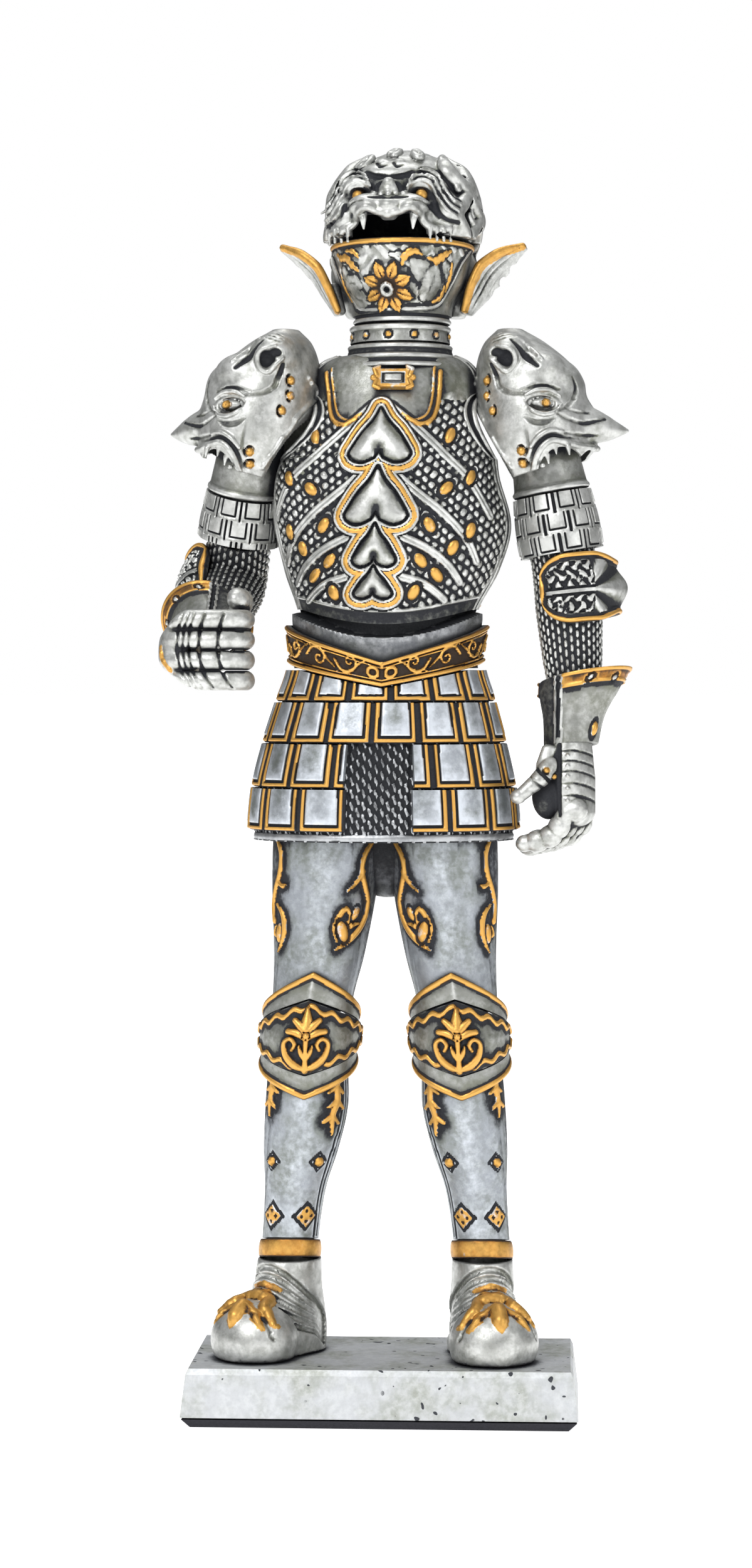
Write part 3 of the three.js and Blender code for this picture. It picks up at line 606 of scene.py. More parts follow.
    def spot(self, x, z, back=0.0):
        """A place on the front of the clay, or a little behind it."""
        return np.array([x, self.front(x, z) + back, z])

    def on_front(self, stops, lift=0.0):
        """Places seen from the front, laid on the clay: across, height."""
        return np.array([[x, self.front(x, z) - lift, z] for x, z in curve(stops)])

    def groove(self, stops, radius, blend=0.1, lift=0.0, dark=1.0, rim=0.2):
        """Presses a blackened line into the front of the clay."""
        self.strand(self.on_front(stops, lift), radius, blend, cut=True, dark=dark, rim=rim)

    def mesh(self):
        """The surface where the block is zero: points, quads, the gold there, and the wash of its hollows
        with the painted shade and highlights of dark added.
        """
        field = self.field
        for axis in range(3):
            np.moveaxis(field, axis, 0)[[0, -1]] = 1.0
        shape = np.array(field.shape)
        corners, places, faces = [], [], []
        inside = field < 0
        for axis in range(3):
            step, one, two = (np.eye(3, dtype=int)[(axis + k) % 3] for k in range(3))
            low = [slice(None)] * 3
            high = [slice(None)] * 3
            low[axis], high[axis] = slice(0, -1), slice(1, None)
            edges = np.argwhere(inside[tuple(low)] != inside[tuple(high)])
            start, end = field[tuple(edges.T)], field[tuple((edges + step).T)]
            at = edges + step * (start / (start - end))[:, None]
            around = [np.ravel_multi_index((edges - shift).T, shape) for shift in (0 * one, one, one + two,
                                                                                   two)]
            corners += around
            places += [at] * 4
            quads = np.stack(around, -1)
            faces.append(np.where((start < 0)[:, None], quads, quads[:, ::-1]))
        cells, number = np.unique(np.concatenate(corners), return_inverse=True)
        places = np.concatenate(places)
        count = np.bincount(number)
        points = np.stack([np.bincount(number, places[:, k]) / count for k in range(3)], -1)
        quads = np.searchsorted(cells, np.concatenate(faces))
        recess = -self.sample(blurred(field, 0.45 / self.step), points) / 0.16
        recess += -self.sample(blurred(field, 1.1 / self.step), points) / 0.5
        gold, dark = self.sample(self.gold, points), self.sample(self.dark, points)
        # The hollows' wash, with the painted shade and highlights that dark gives added.
        return self.low + points * self.step, quads, {"recess": np.clip(recess + dark, -0.35, 1.6),
                                                      "gold": gold}

    def sample(self, field, points):
        """A field's values at points given in steps, read between its own points."""
        base = np.clip(points.astype(int), 0, np.array(field.shape) - 2)
        part = points - base
        total = np.zeros(len(points))
        for corner in np.ndindex(2, 2, 2):
            weight = np.prod(np.where(corner, part, 1 - part), axis=1)
            total += weight * field[tuple((base + corner).T)]
        return total

    def build(self, name, slot, place=np.eye(4), metal=None, nodes=None):
        points, quads, values = self.mesh()
        return finish_piece(name, nodes or [name], points, quads, (), place, metal, values)


# ---- metals ----------------------------------------------------------------
def add_node(tree, kind, inputs, **settings):
    node = tree.nodes.new(kind)
    for key, value in settings.items():
        setattr(node, key, value)
    for key, value in inputs.items():
        if hasattr(value, "links"):
            tree.links.new(value, node.inputs[key])
        else:
            node.inputs[key].default_value = value
    return node


def colour(red, green, blue):
    return (red, green, blue, 1.0)


# The tones of each metal: its body, its bright tone for rubbed places and painted highlights, and the black
# left in its hollows, which is also its painted shade.
PEWTER = (colour(0.235, 0.24, 0.222), colour(0.585, 0.59, 0.57), colour(0.008, 0.009, 0.014))
# The dark and bright tones are copies of the pewter: darker as painted shade, and lighter and bluer as
# painted light.
SHADED_PEWTER = (colour(0.11, 0.115, 0.125), colour(0.42, 0.43, 0.44), colour(0.006, 0.007, 0.01))
BLUER_LIT_PEWTER = (colour(0.29, 0.31, 0.335), colour(0.60, 0.635, 0.68), colour(0.01, 0.011, 0.016))
PLINTH_PEWTER = (colour(0.50, 0.515, 0.53), colour(0.72, 0.735, 0.74), colour(0.02, 0.022, 0.03))
GOLD_BASE = colour(0.40, 0.175, 0.034)
GOLD_DULL = colour(0.20, 0.105, 0.03)
GOLD_HIGH = colour(0.62, 0.345, 0.085)
GOLD_WASH_AND_SHADE = colour(0.02, 0.012, 0.008)


def blend_colour(tree, factor, a, b):
    return add_node(tree, "ShaderNodeMix", {0: factor, 6: a, 7: b}, data_type="RGBA").outputs[2]


def ramp(tree, value, low, high, to_low=0.0, to_high=1.0):
    node = add_node(tree, "ShaderNodeMapRange", {0: value, 1: low, 2: high, 3: to_low, 4: to_high},
                    interpolation_type="SMOOTHSTEP")
    return node.outputs[0]


def maths(tree, operation, a, b):
    return add_node(tree, "ShaderNodeMath", {0: a, 1: b}, operation=operation).outputs[0]


def object_place(tree):
    return add_node(tree, "ShaderNodeTexCoord", {}).outputs["Object"]


def new_tree(data):
    """The empty node tree of a new material or world."""
    data.use_nodes = True
    data.node_tree.nodes.clear()
    return data.node_tree


def finish_tree(tree, kind, shader):
    """Joins a shader to an output node of the given kind."""
    tree.links.new(shader.outputs[0], add_node(tree, kind, {}).inputs[0])


METALLIC = 0.82  # the castings are painted over in part, so they shine less than bare metal


def metal(name, tones, roughness=0.4, metallic=METALLIC, pits=0.0):
    """Worn cast metal: gilt where the piece says so, black in its hollows, bright where it is rubbed, with
    painted shade and highlights from the piece.
    """
    made = bpy.data.materials.new(name)
    tree = new_tree(made)
    base_tone, high_tone, wash_and_shade_tone = tones
    place = object_place(tree)
    recess = add_node(tree, "ShaderNodeAttribute", {}, attribute_name="recess").outputs["Fac"]
    gold = add_node(tree, "ShaderNodeAttribute", {}, attribute_name="gold").outputs["Fac"]

    def noise(scale, detail=4.0):
        inputs = {"Vector": place, "Scale": scale, "Detail": detail, "Roughness": 0.6}
        return add_node(tree, "ShaderNodeTexNoise", inputs).outputs["Fac"]

    def add(a, b):
        return maths(tree, "ADD", a, b)

    def less(a, b):
        return maths(tree, "SUBTRACT", a, b)

    def times(a, b):
        return maths(tree, "MULTIPLY", a, b)

    broad, mottle, fine, grain = noise(130.0), noise(420.0), noise(900.0), noise(3200.0, 2.0)
    hollow = add_node(tree, "ShaderNodeAmbientOcclusion", {"Distance": 0.0026}, samples=8)
    # Closed corners darken: partly the wash that gathers there, partly painted shade between the parts.
    closed_corner_wash_and_shade = ramp(tree, hollow.outputs["AO"], 0.85, 0.25)
    patchy = times(less(fine, 0.5), 0.9)

    # The black wash lies in hollows, in closed corners and in patches, and the plinth is pitted with it. It
    # also carries the painted shade and highlights that each piece gives with dark, and in closed corners it
    # is partly painted shade.
    wash_and_shade_at = add(add(recess, closed_corner_wash_and_shade), patchy)
    if pits:
        chip = times(ramp(tree, noise(800.0, 0.0), 0.75, 0.79), ramp(tree, noise(70.0, 1.0), 0.45, 0.6))
        wash_and_shade_at = add(wash_and_shade_at, times(chip, pits))
    wash_and_shade = ramp(tree, wash_and_shade_at, 0.06, 0.62, 0.0, 0.97)

    # The metal under it is mottled, and bright where hands and cloths have rubbed it and where a piece paints
    # a highlight.
    rub_and_highlight = ramp(tree, less(add(times(patchy, 1.2), 0.3), recess), 0.05, 0.85)
    stained = colour(*[value * share for value, share in zip(base_tone, (0.66, 0.67, 0.58))])
    tinted = blend_colour(tree, ramp(tree, broad, 0.38, 0.66), base_tone, stained)
    rubbed = blend_colour(tree, ramp(tree, mottle, 0.4, 0.64), high_tone, base_tone)
    silver = blend_colour(tree, rub_and_highlight, tinted, blend_colour(tree, 0.5, rubbed, high_tone))
    gilt_body = blend_colour(tree, ramp(tree, mottle, 0.38, 0.62), GOLD_BASE, GOLD_DULL)
    gilt = blend_colour(tree, rub_and_highlight, gilt_body, GOLD_HIGH)
    gold_on = ramp(tree, add(gold, times(less(mottle, 0.5), 1.5)), 0.36, 0.6)
    body = blend_colour(tree, gold_on, silver, gilt)
    wash_and_shade_colour = blend_colour(tree, gold_on, wash_and_shade_tone, GOLD_WASH_AND_SHADE)

    bumped = add(times(fine, 0.6), times(grain, 0.4))
    bump = add_node(tree, "ShaderNodeBump", {"Strength": 0.3, "Distance": 0.00014, "Height": bumped})
    shader = add_node(tree, "ShaderNodeBsdfPrincipled", {
        "Base Color": blend_colour(tree, wash_and_shade, body, wash_and_shade_colour),
        "Roughness": add(ramp(tree, grain, 0.3, 0.7, roughness - 0.06, roughness + 0.08), times(wash_and_shade, 0.3)),
        "Metallic": less(metallic, times(wash_and_shade, 0.5)),
        "Normal": bump.outputs[0],
    })
    finish_tree(tree, "ShaderNodeOutputMaterial", shader)
    return made


def felt(name):
    made = bpy.data.materials.new(name)
    made.use_nodes = True
    tree = made.node_tree
    shader = tree.nodes["Principled BSDF"]
    place = object_place(tree)
    fibre = add_node(tree, "ShaderNodeTexNoise", {"Vector": place, "Scale": 2500.0,
                                                  "Detail": 3.0}).outputs["Fac"]
    tree.links.new(blend_colour(tree, fibre, colour(0.004, 0.004, 0.006), colour(0.02, 0.02, 0.028)),
                   shader.inputs["Base Color"])
    bump = add_node(tree, "ShaderNodeBump", {"Strength": 0.6, "Distance": 0.0001, "Height": fibre})
    tree.links.new(bump.outputs[0], shader.inputs["Normal"])
    shader.inputs["Roughness"].default_value = 0.95
    return made


# Bright is the lit, bluer copy, for the legs and the skirt's tiles, and dark the shaded copy, for the waist
# and the mail.
METALS = {
    "pewter": metal("antique_pewter", PEWTER),
    "bright": metal("bluer_lit_pewter", BLUER_LIT_PEWTER, roughness=0.48),
    "dark": metal("dark_pewter", SHADED_PEWTER),
    "plinth": metal("plinth_pewter", PLINTH_PEWTER, roughness=0.5, metallic=0.55, pits=1.2),
    "felt": felt("black_felt"),
}

# A CAD node that stays is given the metal of its own kind.
for node_name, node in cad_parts.items():
    node.data.materials.clear()
    node.data.materials.append(METALS[{"plinth_pad": "felt", "plinth": "plinth"}.get(node_name, "pewter")])
    node.data.polygons.foreach_set("use_smooth", np.ones(len(node.data.polygons), bool))
    node.data.set_sharp_from_angle(angle=CAD_SHARP)


# ---- breastplate -----------------------------------------------------------
CHEST_MIDDLE = -8.0  # the chest is turned a little to its right
CHEST_LOW, CHEST_HIGH = 125.2, 167.4
ARMHOLE_Z, ARMHOLE_R = 156.4, 5.2
# Each heart: the heights of its point and of its lobes, and half its width. It stands with the point up.
HEARTS = [(158.6, 150.3, 4.8), (149.5, 140.7, 4.85), (140.6, 134.2, 3.3), (134.1, 129.3, 2.9)]
# Half of its outline, as shares of the half width and of the height from the point to the lobes.
HEART_HALF = [(0, 0), (0.22, 0.23), (0.56, 0.45), (0.83, 0.68), (1, 0.87), (0.8, 0.98), (0.5, 1),
              (0.17, 0.92), (0, 0.77)]
# Ribbons run outwards and down from the hearts, each given as distances from the middle and heights. The pips
# between them have a turn in degrees as well.
RIBBONS = [
    [(1.5, 159), (7.3, 154.2), (11, 151), (15, 147.8), (19.5, 142)],
    [(1.2, 149.8), (5.6, 146), (10.2, 142.6), (14.6, 138.6), (17, 135)],
    [(3.5, 139), (8, 137), (11.5, 134.6), (14, 131.8)],
    [(4, 132.6), (8, 131.4), (11.5, 129)],
]
NECKLINE = [(9.4, 164.6), (9.2, 162), (8.8, 158.8), (8, 156.9), (6.2, 156.1), (4.2, 157)]
PIPS = [(11.3, 154.5, 70), (15.5, 148, 60), (11, 146.2, 40), (8.5, 140.5, -60), (15.5, 139.7, 70),
        (12.5, 137, 60), (7.3, 135, -50), (10, 132.8, -50), (6.4, 130.1, 60)]


def armhole_edge(z, face, far):
    """The angle at which the chest or the back ends: its side seam, or the rim of the armhole."""
    reach = section(TORSO, np.asarray(z, float))[..., face]
    radius = np.sqrt(np.clip(ARMHOLE_R**2 - (np.asarray(z) - ARMHOLE_Z) ** 2, 0, None))
    return np.minimum(far, np.degrees(np.arccos(np.clip(radius / reach, 0, 1))))


def heart_outline(tip, bottom, half):
    side = curve(np.array(HEART_HALF[:-1]), 0.08)
    side = np.vstack([side, HEART_HALF[-1:]])
    right = np.stack([side[:, 0] * half, tip - side[:, 1] * (tip - bottom)], -1)
    left = right[::-1] * [-1, 1]
    return np.vstack([right, left[1:-1]])


def scaled_ground(u, z):
    """The relief and the black of small scales, in rows that slope down from the middle."""
    across = np.abs(u)
    along, down = (across - 0.75 * z) / 1.75, (0.75 * across + z) / 1.75
    down = down + 0.1 * np.sin(1.9 * across + 0.8 * z)
    shifted = along + 0.5 * (np.floor(down) % 2)
    lump = np.abs(np.sin(np.pi * down)) ** 0.7 * np.abs(np.sin(np.pi * shifted)) ** 0.7
    black = 1.0 - 1.6 * smooth_step(lump, 0.25, 0.55)
    return (0.62 * lump - 0.3).astype(np.float32), black.astype(np.float32)


def chest_flare(degrees, z):
    """How far the chest's armholes stand out. The right one, which is turned away, stands out more."""
    right = 3.2 * np.exp(-(((z - 149.5) / 7.5) ** 2)) * smooth_step(-degrees, 20, 75)
    return right + 1.1 * np.exp(-(((z - 155) / 5) ** 2)) * smooth_step(degrees, 30, 75)


def make_breastplate():
    foot = lambda degrees: CHEST_LOW + 2.6 * np.sin(np.radians(degrees)) ** 2
    edge = lambda z: armhole_edge(z, FRONT, 88)
    sheet = Sheet(TORSO, lambda z: -edge(z), edge, foot, CHEST_HIGH, middle=CHEST_MIDDLE, pitch=0.17,
                  outer=chest_flare, inner=lambda degrees, z: chest_flare(degrees, z) - WALL)
    u, z = sheet.u, sheet.z
    across = np.abs(u)
    inside_neck = np.vstack([[(0, 170), (9.4, 170)], NECKLINE, [(0.5, 160.5), (0, 160.5)]])
    above = distance_in(across, z, inside_neck) < 0

    # A ground of small scales, then everything that lies on it.
    sheet.h, sheet.dark = scaled_ground(u, z)
    hem = foot(sheet.degrees) + 2.0
    shoulder = z > 160.2
    plain = above | (z < hem) | shoulder
    sheet.h[plain] = 0.12
    sheet.dark[plain] = 0
    sheet.lay(shoulder & ~above, dark=0.05)
    sheet.lay(z < hem, dark=0.45)
    sheet.ridge(np.stack([u[::12, 0], hem[::12, 0]], -1), 0.3, 0.35)
    for path in RIBBONS:
        line = curve(path)
        sheet.groove(line, 1.15, 0.1, mirror=True, dark=0.9)
        sheet.ridge(line, 0.72, 0.42, mirror=True, gold=0.0, flat=True)
        sheet.lay(nearness(across, z, line, 0.72) < 1, dark=0)
        sheet.groove(line, 0.16, 0.14, mirror=True)
    for a, b, turn_by in PIPS:
        sheet.lay(nearness(across, z, [(a - 0.1, b), (a + 0.1, b)], 1.3) < 1, dark=0)
        sheet.knob((a, b), (1.3, 0.85), 0.5, turn_by, gold=0.75, mirror=True, ring=0.25)

    # Two welts run along the side seams and the armholes, with black between them.
    from_edge = np.minimum(sheet.u[-1:] - u, u - sheet.u[:1])
    rims = np.maximum(0.5 * rounded((from_edge - 0.5) / 0.5), 0.32 * rounded((from_edge - 2.4) / 0.35))
    border = from_edge < 2.75
    sheet.lay(border, h=np.where(rims > 0, rims, -0.2), dark=np.where(rims > 0, -0.1, 1.0), gold=0)
    sheet.ridge(curve(NECKLINE), 0.42, 0.5, mirror=True, gold=1.0)
    sheet.ridge(curve(np.array(NECKLINE) + [-1.0, 0.7]), 0.25, 0.35, mirror=True, gold=0.6)
    add_hearts(sheet)
    sheet.build("breastplate", "pewter")


def add_hearts(sheet):
    """Each heart is a polished dome, a black groove, a silver ridge and a gilt band."""
    u, z = sheet.u, sheet.z
    away = np.min([distance_in(u, z, heart_outline(*heart)) for heart in HEARTS], axis=0)
    dome = 0.25 + 0.75 * (1 - np.exp(np.minimum(away, 0) / 1.6))
    dome -= 0.2 * np.exp(-((u / 0.5) ** 2)) * (z < 152.2) * (z > 149)
    near = away < 2.1
    ridge = np.maximum(0.4 * rounded((away - 0.58) / 0.24), 0.42 * rounded((away - 1.72) / 0.26))
    band = 0.5 * rounded((away - 1.16) / 0.4)
    profile = np.where(away < 0.0, dome, np.where(away < 0.3, -0.3, np.maximum(ridge, band)))
    sheet.lay(near, h=profile, gold=(away > 0.82) * (away < 1.5))
    black = ((away > -0.16) & (away < 0.34)) | (np.abs(away - 0.8) < 0.05)
    shade = smooth_step(150 - z, 0, 18) * 0.5 + 0.4 * (1 - smooth_step(-away, 0.2, 1.4))
    sheet.lay(near, dark=np.where(black, 0.95, np.where(away < 0, shade, -0.1)))


def make_backplate():
    """The back has the chest's scales, ribbons and pips, a spine, and a gilt rib above and below them."""
    edge = lambda z: armhole_edge(z, BACK, 89)
    sheet = Sheet(TORSO, lambda z: 180 - edge(z), lambda z: 180 + edge(z), CHEST_LOW, CHEST_HIGH,
                  middle=180.0, pitch=0.22)
    u, z = sheet.u, sheet.z
    sheet.h, sheet.dark = scaled_ground(u, z)
    plain = (z > 157) | (z < 128.6)
    sheet.h[plain] = 0.12
    sheet.dark[plain] = 0.15
    for path in RIBBONS:
        sheet.ridge(curve(path), 0.72, 0.42, mirror=True, flat=True)
    for a, b, turn_by in PIPS:
        sheet.knob((a, b), (1.3, 0.9), 0.55, turn_by, gold=1.0, mirror=True, ring=0.2)
    for at in (157.0, 128.4):
        sheet.ridge([(-30, at), (30, at)], 0.5, 0.5, gold=1.0)
    sheet.ridge([(0, 129), (0, 157)], 0.8, 0.6)
    sheet.build("backplate", "pewter")


make_breastplate()
make_backplate()


# ---- waist, belt and skirt -------------------------------------------------
def sideways(degrees):
    """How far round from the front to the side an angle lies: 0 at the front, 1 at the side and behind."""
    turn = np.abs((np.asarray(degrees, float) + 180) % 360 - 180)
    return np.minimum(turn / 90, 1)


def belt_dip(degrees):
    return 4.0 * (1 - sideways(degrees)) ** 1.3


def belt_low(degrees):
    return 119.4 - belt_dip(degrees)


def belt_high(degrees):
    return 125.2 - 1.5 * belt_dip(degrees)


def make_waist():
    """A plain plate behind the belt. It tucks up under the chest, behind a dipping edge."""
    edge = lambda degrees: 123.0 + 4.0 * np.sin(np.radians(degrees)) ** 2
    tuck = lambda degrees, z: -0.5 - 2.8 * smooth_step(z, edge(degrees), edge(degrees) + 0.5)
    waist = Sheet(SKIRT, -180, 180, 118.4, 129.0, outer=tuck, pitch=0.2,
                  inner=lambda degrees, z: tuck(degrees, z) - WALL)
    above = waist.z - edge(waist.degrees)
    # Painted shade: black above the edge, under the chest, a lighter band just below it, and the shaded
    # pewter.
    waist.dark = np.where(above > 0.1, 1.2, 0.05 - 0.25 * (above > -0.8)).astype(np.float32)
    waist.build("waist_plate", "dark_pewter", metal=METALS["dark"])


def make_belt():
    """A gilt belt that dips to a point in front, with a vine of scrolls between two beaded edges."""
    belt = Sheet(SKIRT, -180, 180, belt_low, belt_high, inner=-0.3, pitch=0.18,
                 outer=lambda degrees, z: 0.5 + 0.6 * (1 - sideways(degrees)))
    low, high = belt_low(belt.degrees), belt_high(belt.degrees)
    belt.dark[:] = 0.9
    belt.gold[:] = 0.7
    belt.h -= 0.25
    for inset, half, height, gilt in ((0.32, 0.32, 0.3, True), (0.95, 0.14, 0.1, False)):
        for edge in (low + inset, high - inset):
            q = belt.rib(belt.z - edge, half, height)
            belt.lay(q < 1, dark=0)
            if gilt:
                belt.lay(q < 1, gold=1)

    # The vine is drawn on the unrolled belt: distance round from the middle, and height from its lower edge.
    rise = belt.z - low
    around = np.abs(belt.u)

    def gild(path, half, height=0.28):
        q = nearness(around, rise, path, half)
        belt.lay(q < 1, h=np.maximum(belt.h, height * rounded(q)), dark=0, gold=1)

    ring = np.linspace(0, 2 * np.pi, 25)
    gild(np.stack([1.45 + 0.85 * np.cos(ring), 2.0 + 0.75 * np.sin(ring)], -1), 0.3)
    gild(curve([(0, 3.0), (0, 4.6), (0, 6.2)]), 0.3, 0.4)
    wave = 5.6
    for k in range(int(float(around.max()) / wave)):
        start = 2.6 + k * wave
        middle = 2.9 if k else 2.6
        side = 1 if k % 2 else -1
        stem = ((-0.4, -1.3), (1.2, -0.2), (2.6, 1.2), (4.2, 1.1), (wave - 0.2, -0.3))
        gild(curve([(start + du, middle + side * dz) for du, dz in stem]), [0.12, 0.22, 0.26, 0.2])
        gild(spiral((start + 2.7, middle - side * 0.3), 1.25, side * 1.15, 90 * side), 0.18)
        bud = ((4.0, 1.0), (4.9, 1.6))
        gild(curve([(start + du, middle + side * dz) for du, dz in bud]), [0.1, 0.32, 0.1])
    belt.build("belt", "gilt")


TILE_TURN = 22.5  # the angle that a tile takes
# A tile from its edge inwards, in millimetres: black outside it, a gilt frame, a black line, and the plate.
TILE_GAP, TILE_FRAME, TILE_PLATE = 0.42, 0.62, 0.88
SKIRT_ROWS = [
    {"low": 113.2, "high": lambda d: np.minimum(118.0, belt_low(d) - 0.3), "slot": 0, "seam": 5.0},
    {"low": 106.7, "high": 112.9, "slot": 0, "seam": 18.5},
    {"low": 99.7, "high": 106.4, "slot": 15.5, "seam": 24.0},
    {"low": 92.9, "high": 99.4, "slot": 14.5, "seam": 31.0},
]


def tile_scale(form, degrees, z):
    """Millimetres round the form for one degree."""
    _, _, side, front, back = np.moveaxis(section(form, z), -1, 0)
    angle = np.radians(degrees)
    reach = np.where(np.cos(angle) > 0, front, back)
    return np.hypot(side * np.cos(angle), reach * np.sin(angle)) * np.pi / 180


def make_skirt():
    """Four rows of gilt-framed tiles, each row higher than the next, over mail."""
    for number, row in enumerate(SKIRT_ROWS, 1):
        slot = row["slot"]
        sheet = Sheet(SKIRT, slot if slot else -180, 360 - slot if slot else 180, row["low"], row["high"],
                      inner=-0.5, outer=0.5, middle=180 if slot else 0, pitch=0.19)
        cell = ((sheet.degrees - row["seam"]) / TILE_TURN) % 1
        seam = np.minimum(cell, 1 - cell) * TILE_TURN * tile_scale(SKIRT, sheet.degrees, sheet.z)
        foot = sheet.z - row["low"]
        rim = np.minimum(seam - TILE_GAP, foot - 0.12)
        frame_on = (rim > 0) & (rim < TILE_FRAME)
        sheet.h = np.where(frame_on, 0.24 * rounded((rim - 0.31) / 0.36), np.where(rim < 0, -0.3, -0.24))
        plate_on = rim > TILE_PLATE
        sheet.lay(plate_on, h=0.2 + 0.12 * smooth_step(rim, TILE_PLATE, 1.2))
        sheet.h = sheet.h.astype(np.float32)
        sheet.gold = frame_on.astype(np.float32)
        # Painted shade: the rows darken where they turn away to the sides, and each plate darkens towards its
        # frame.
        shade = 0.28 * smooth_step(np.abs(np.mod(sheet.degrees + 180, 360) - 180), 30, 75)
        edge = 0.35 * (1 - smooth_step(rim, 0.9, 1.7))
        sheet.dark = np.where(plate_on, shade + edge, np.where(frame_on, shade, np.where(rim < 0, 1.0, 0.9)))
        sheet.dark = sheet.dark.astype(np.float32)
        sheet.build(f"skirt_row_{number}", "gilt", metal=METALS["bright"])

    mail = Sheet(SKIRT, -180, 180, 91.2, 117.1, inner=-1.8, outer=-0.8, pitch=0.24)
    link_wide, link_tall = 0.95, 1.9
    column = mail.u / link_wide
    level = mail.z / link_tall + 0.5 * (np.floor(column) % 2)
    bend = 0.16 * np.sin(2 * np.pi * level)
    q = np.hypot((column % 1 - 0.5 - bend) / 0.3, (level % 1 - 0.5) / 0.47)
    mail.h = 0.45 * rounded(q)
    mail.dark = np.where(q > 0.8, 1.4, -1.4 + 1.2 * smooth_step(mail.z, 96, 107)).astype(np.float32)
    hem = mail.rib(mail.z - 91.9, 0.6, 0.35)
    mail.h = mail.h.astype(np.float32)
    mail.lay(hem < 1, dark=-0.2)
    mail.build("mail_skirt", "dark_pewter", metal=METALS["dark"])


def make_breeches():
    """Dark mail closes the place where the thighs meet, under the skirt: a plain ball in the shaded pewter,
    darkened all over, partly as the mail's black and partly as painted shade.
    """
    clay = Clay((-9, -5.4, 80), (10, 9.4, 98.5), 0.3)
    clay.ball((0.5, 1.8, 90.5), (7.4, 6.2, 8.6))
    # Painted shade, with the mail's black: the whole ball is darkened.
    clay.dark[:] = 0.75
    clay.build("mail_breeches", "dark_pewter", metal=METALS["dark"], nodes=["mail_skirt"])


make_waist()
make_belt()
make_skirt()
make_breeches()


# ---- legs ------------------------------------------------------------------
KNEE_SPAN = 105  # how far round a knee's plates go, in degrees


def knee_edge(middle, drop):
    """An edge of a knee's plate: its height in the middle, and how much lower it lies at the sides."""
    return lambda degrees: middle - drop * np.minimum(np.abs(np.asarray(degrees, float)) / KNEE_SPAN, 1)


def painted_sheen_streaks(u, z):
    """Long faint streaks of painted sheen down the front of a limb."""
    streaks = 0.14 * np.sin(1.7 * u + 0.1 * z) + 0.09 * np.sin(4.1 * u + 2)
    streaks += 0.06 * np.sin(9.3 * u + 0.7 * np.sin(0.3 * z))
    return streaks * (1 - smooth_step(np.abs(u), 8.0, 12.0))


def shaded_sides(u, start, end):
    """Where a limb turns away from the front, to paint shade there: 1 at its sides, less behind."""
    return smooth_step(np.abs(u), start, end) * (1 - 0.75 * smooth_step(np.abs(u), end + 1, end + 6))


def gilt_vine(sheet, paths):
    """Gilt strands on a plate, each in its own black bed, with a soft halo of painted shade round it."""
    for path, half in paths:
        line = curve(path)
        sheet.groove(line, np.asarray(half) * 1.9, 0.12, dark=0.8)
        # A soft halo of painted shade round each strand.
        shade_halo = 0.45 * (1 - smooth_step(nearness(sheet.u, sheet.z, line, 2.0), 0.2, 1.0))
        sheet.dark = np.maximum(sheet.dark, shade_halo)
    for path, half in paths:
        line = curve(path)
        sheet.ridge(line, half, 0.5, gold=0.9)
        sheet.lay(nearness(sheet.u, sheet.z, line, half) < 1, dark=0)


# Vines on the thigh, as distance round from its middle and height. The inner side is below zero.
THIGH_INNER = [
    ([(-8.6, 91.2), (-7.0, 89), (-6.6, 86.5), (-7.6, 84), (-8.6, 81.5), (-8.2, 79), (-6.6, 76.8),
      (-4.4, 75.0), (-2.9, 74.2)],
     [0.5, 0.5, 0.55, 0.5, 0.5, 0.6, 0.5, 0.2]),
    ([(-3.0, 75.4), (-2.6, 77.2), (-3.0, 79.2), (-4.2, 80.6), (-4.9, 79.6), (-4.6, 78.2)],
     [0.2, 0.5, 0.5, 0.35, 0.2]),
    ([(-6.9, 86.4), (-5.6, 84.6), (-4.2, 83.4)], [0.5, 0.4, 0.15]),
    ([(-6.6, 78.2), (-5.4, 78.0), (-4.9, 77.0)], [0.3, 0.5, 0.3]),
]
THIGH_OUTER = [
    ([(8.9, 91.5), (7.7, 89), (7.9, 86), (8.9, 83.6), (9.6, 81), (9.2, 78.4)], [0.45, 0.5, 0.55, 0.5, 0.5]),
    ([(7.8, 84.4), (6.8, 84.0), (6.0, 84.4)], [0.3, 0.4, 0.15]),
    ([(8.2, 81.2), (6.6, 79.6), (6.0, 77.2), (6.5, 75), (7.2, 73.6)], [0.15, 0.45, 0.6, 0.45, 0.15]),
    ([(8.6, 76.4), (8.0, 77.6), (7.6, 76.6)], [0.5, 0.5, 0.3]),
]
THIGH_BUDS = (((-3.9, 77.0), (0.9, 1.7), -20), ((-6.0, 79.8), (0.6, 1.2), 25), ((7.4, 76.6), (0.7, 1.6), 0))


def barbed(spine, half, reach):
    """A leaf: a spine with a pair of short lobes from each of its inner stops."""
    strands = [(spine, half)]
    for (ax, az), (bx, bz), (cx, cz) in zip(spine, spine[1:], spine[2:]):
        along = np.array([cx - ax, cz - az]) / math.hypot(cx - ax, cz - az)
        for way in (-1, 1):
            tip = np.array([bx, bz]) + reach * (0.75 * along + way * np.array([-along[1], along[0]]))
            strands.append(([(bx, bz), tuple(tip)], [0.5, 0.3]))
    return strands


SHIN_LEAVES = [
    *barbed([(-6.0, 54.8), (-5.4, 52.4), (-5.6, 50.0), (-4.8, 47.6), (-5.2, 44.6)],
            [0.3, 0.7, 0.7, 0.6, 0.2], 1.5),
    *barbed([(6.2, 55), (6.0, 52.4), (6.4, 50), (6.2, 47.4)], [0.3, 0.7, 0.6, 0.2], 1.3),
]


def leg_piece(sheet, name, side, place, metal="pewter", slot="pewter"):
    sheet.build(f"{name}_{side}", slot, place, METALS[metal])


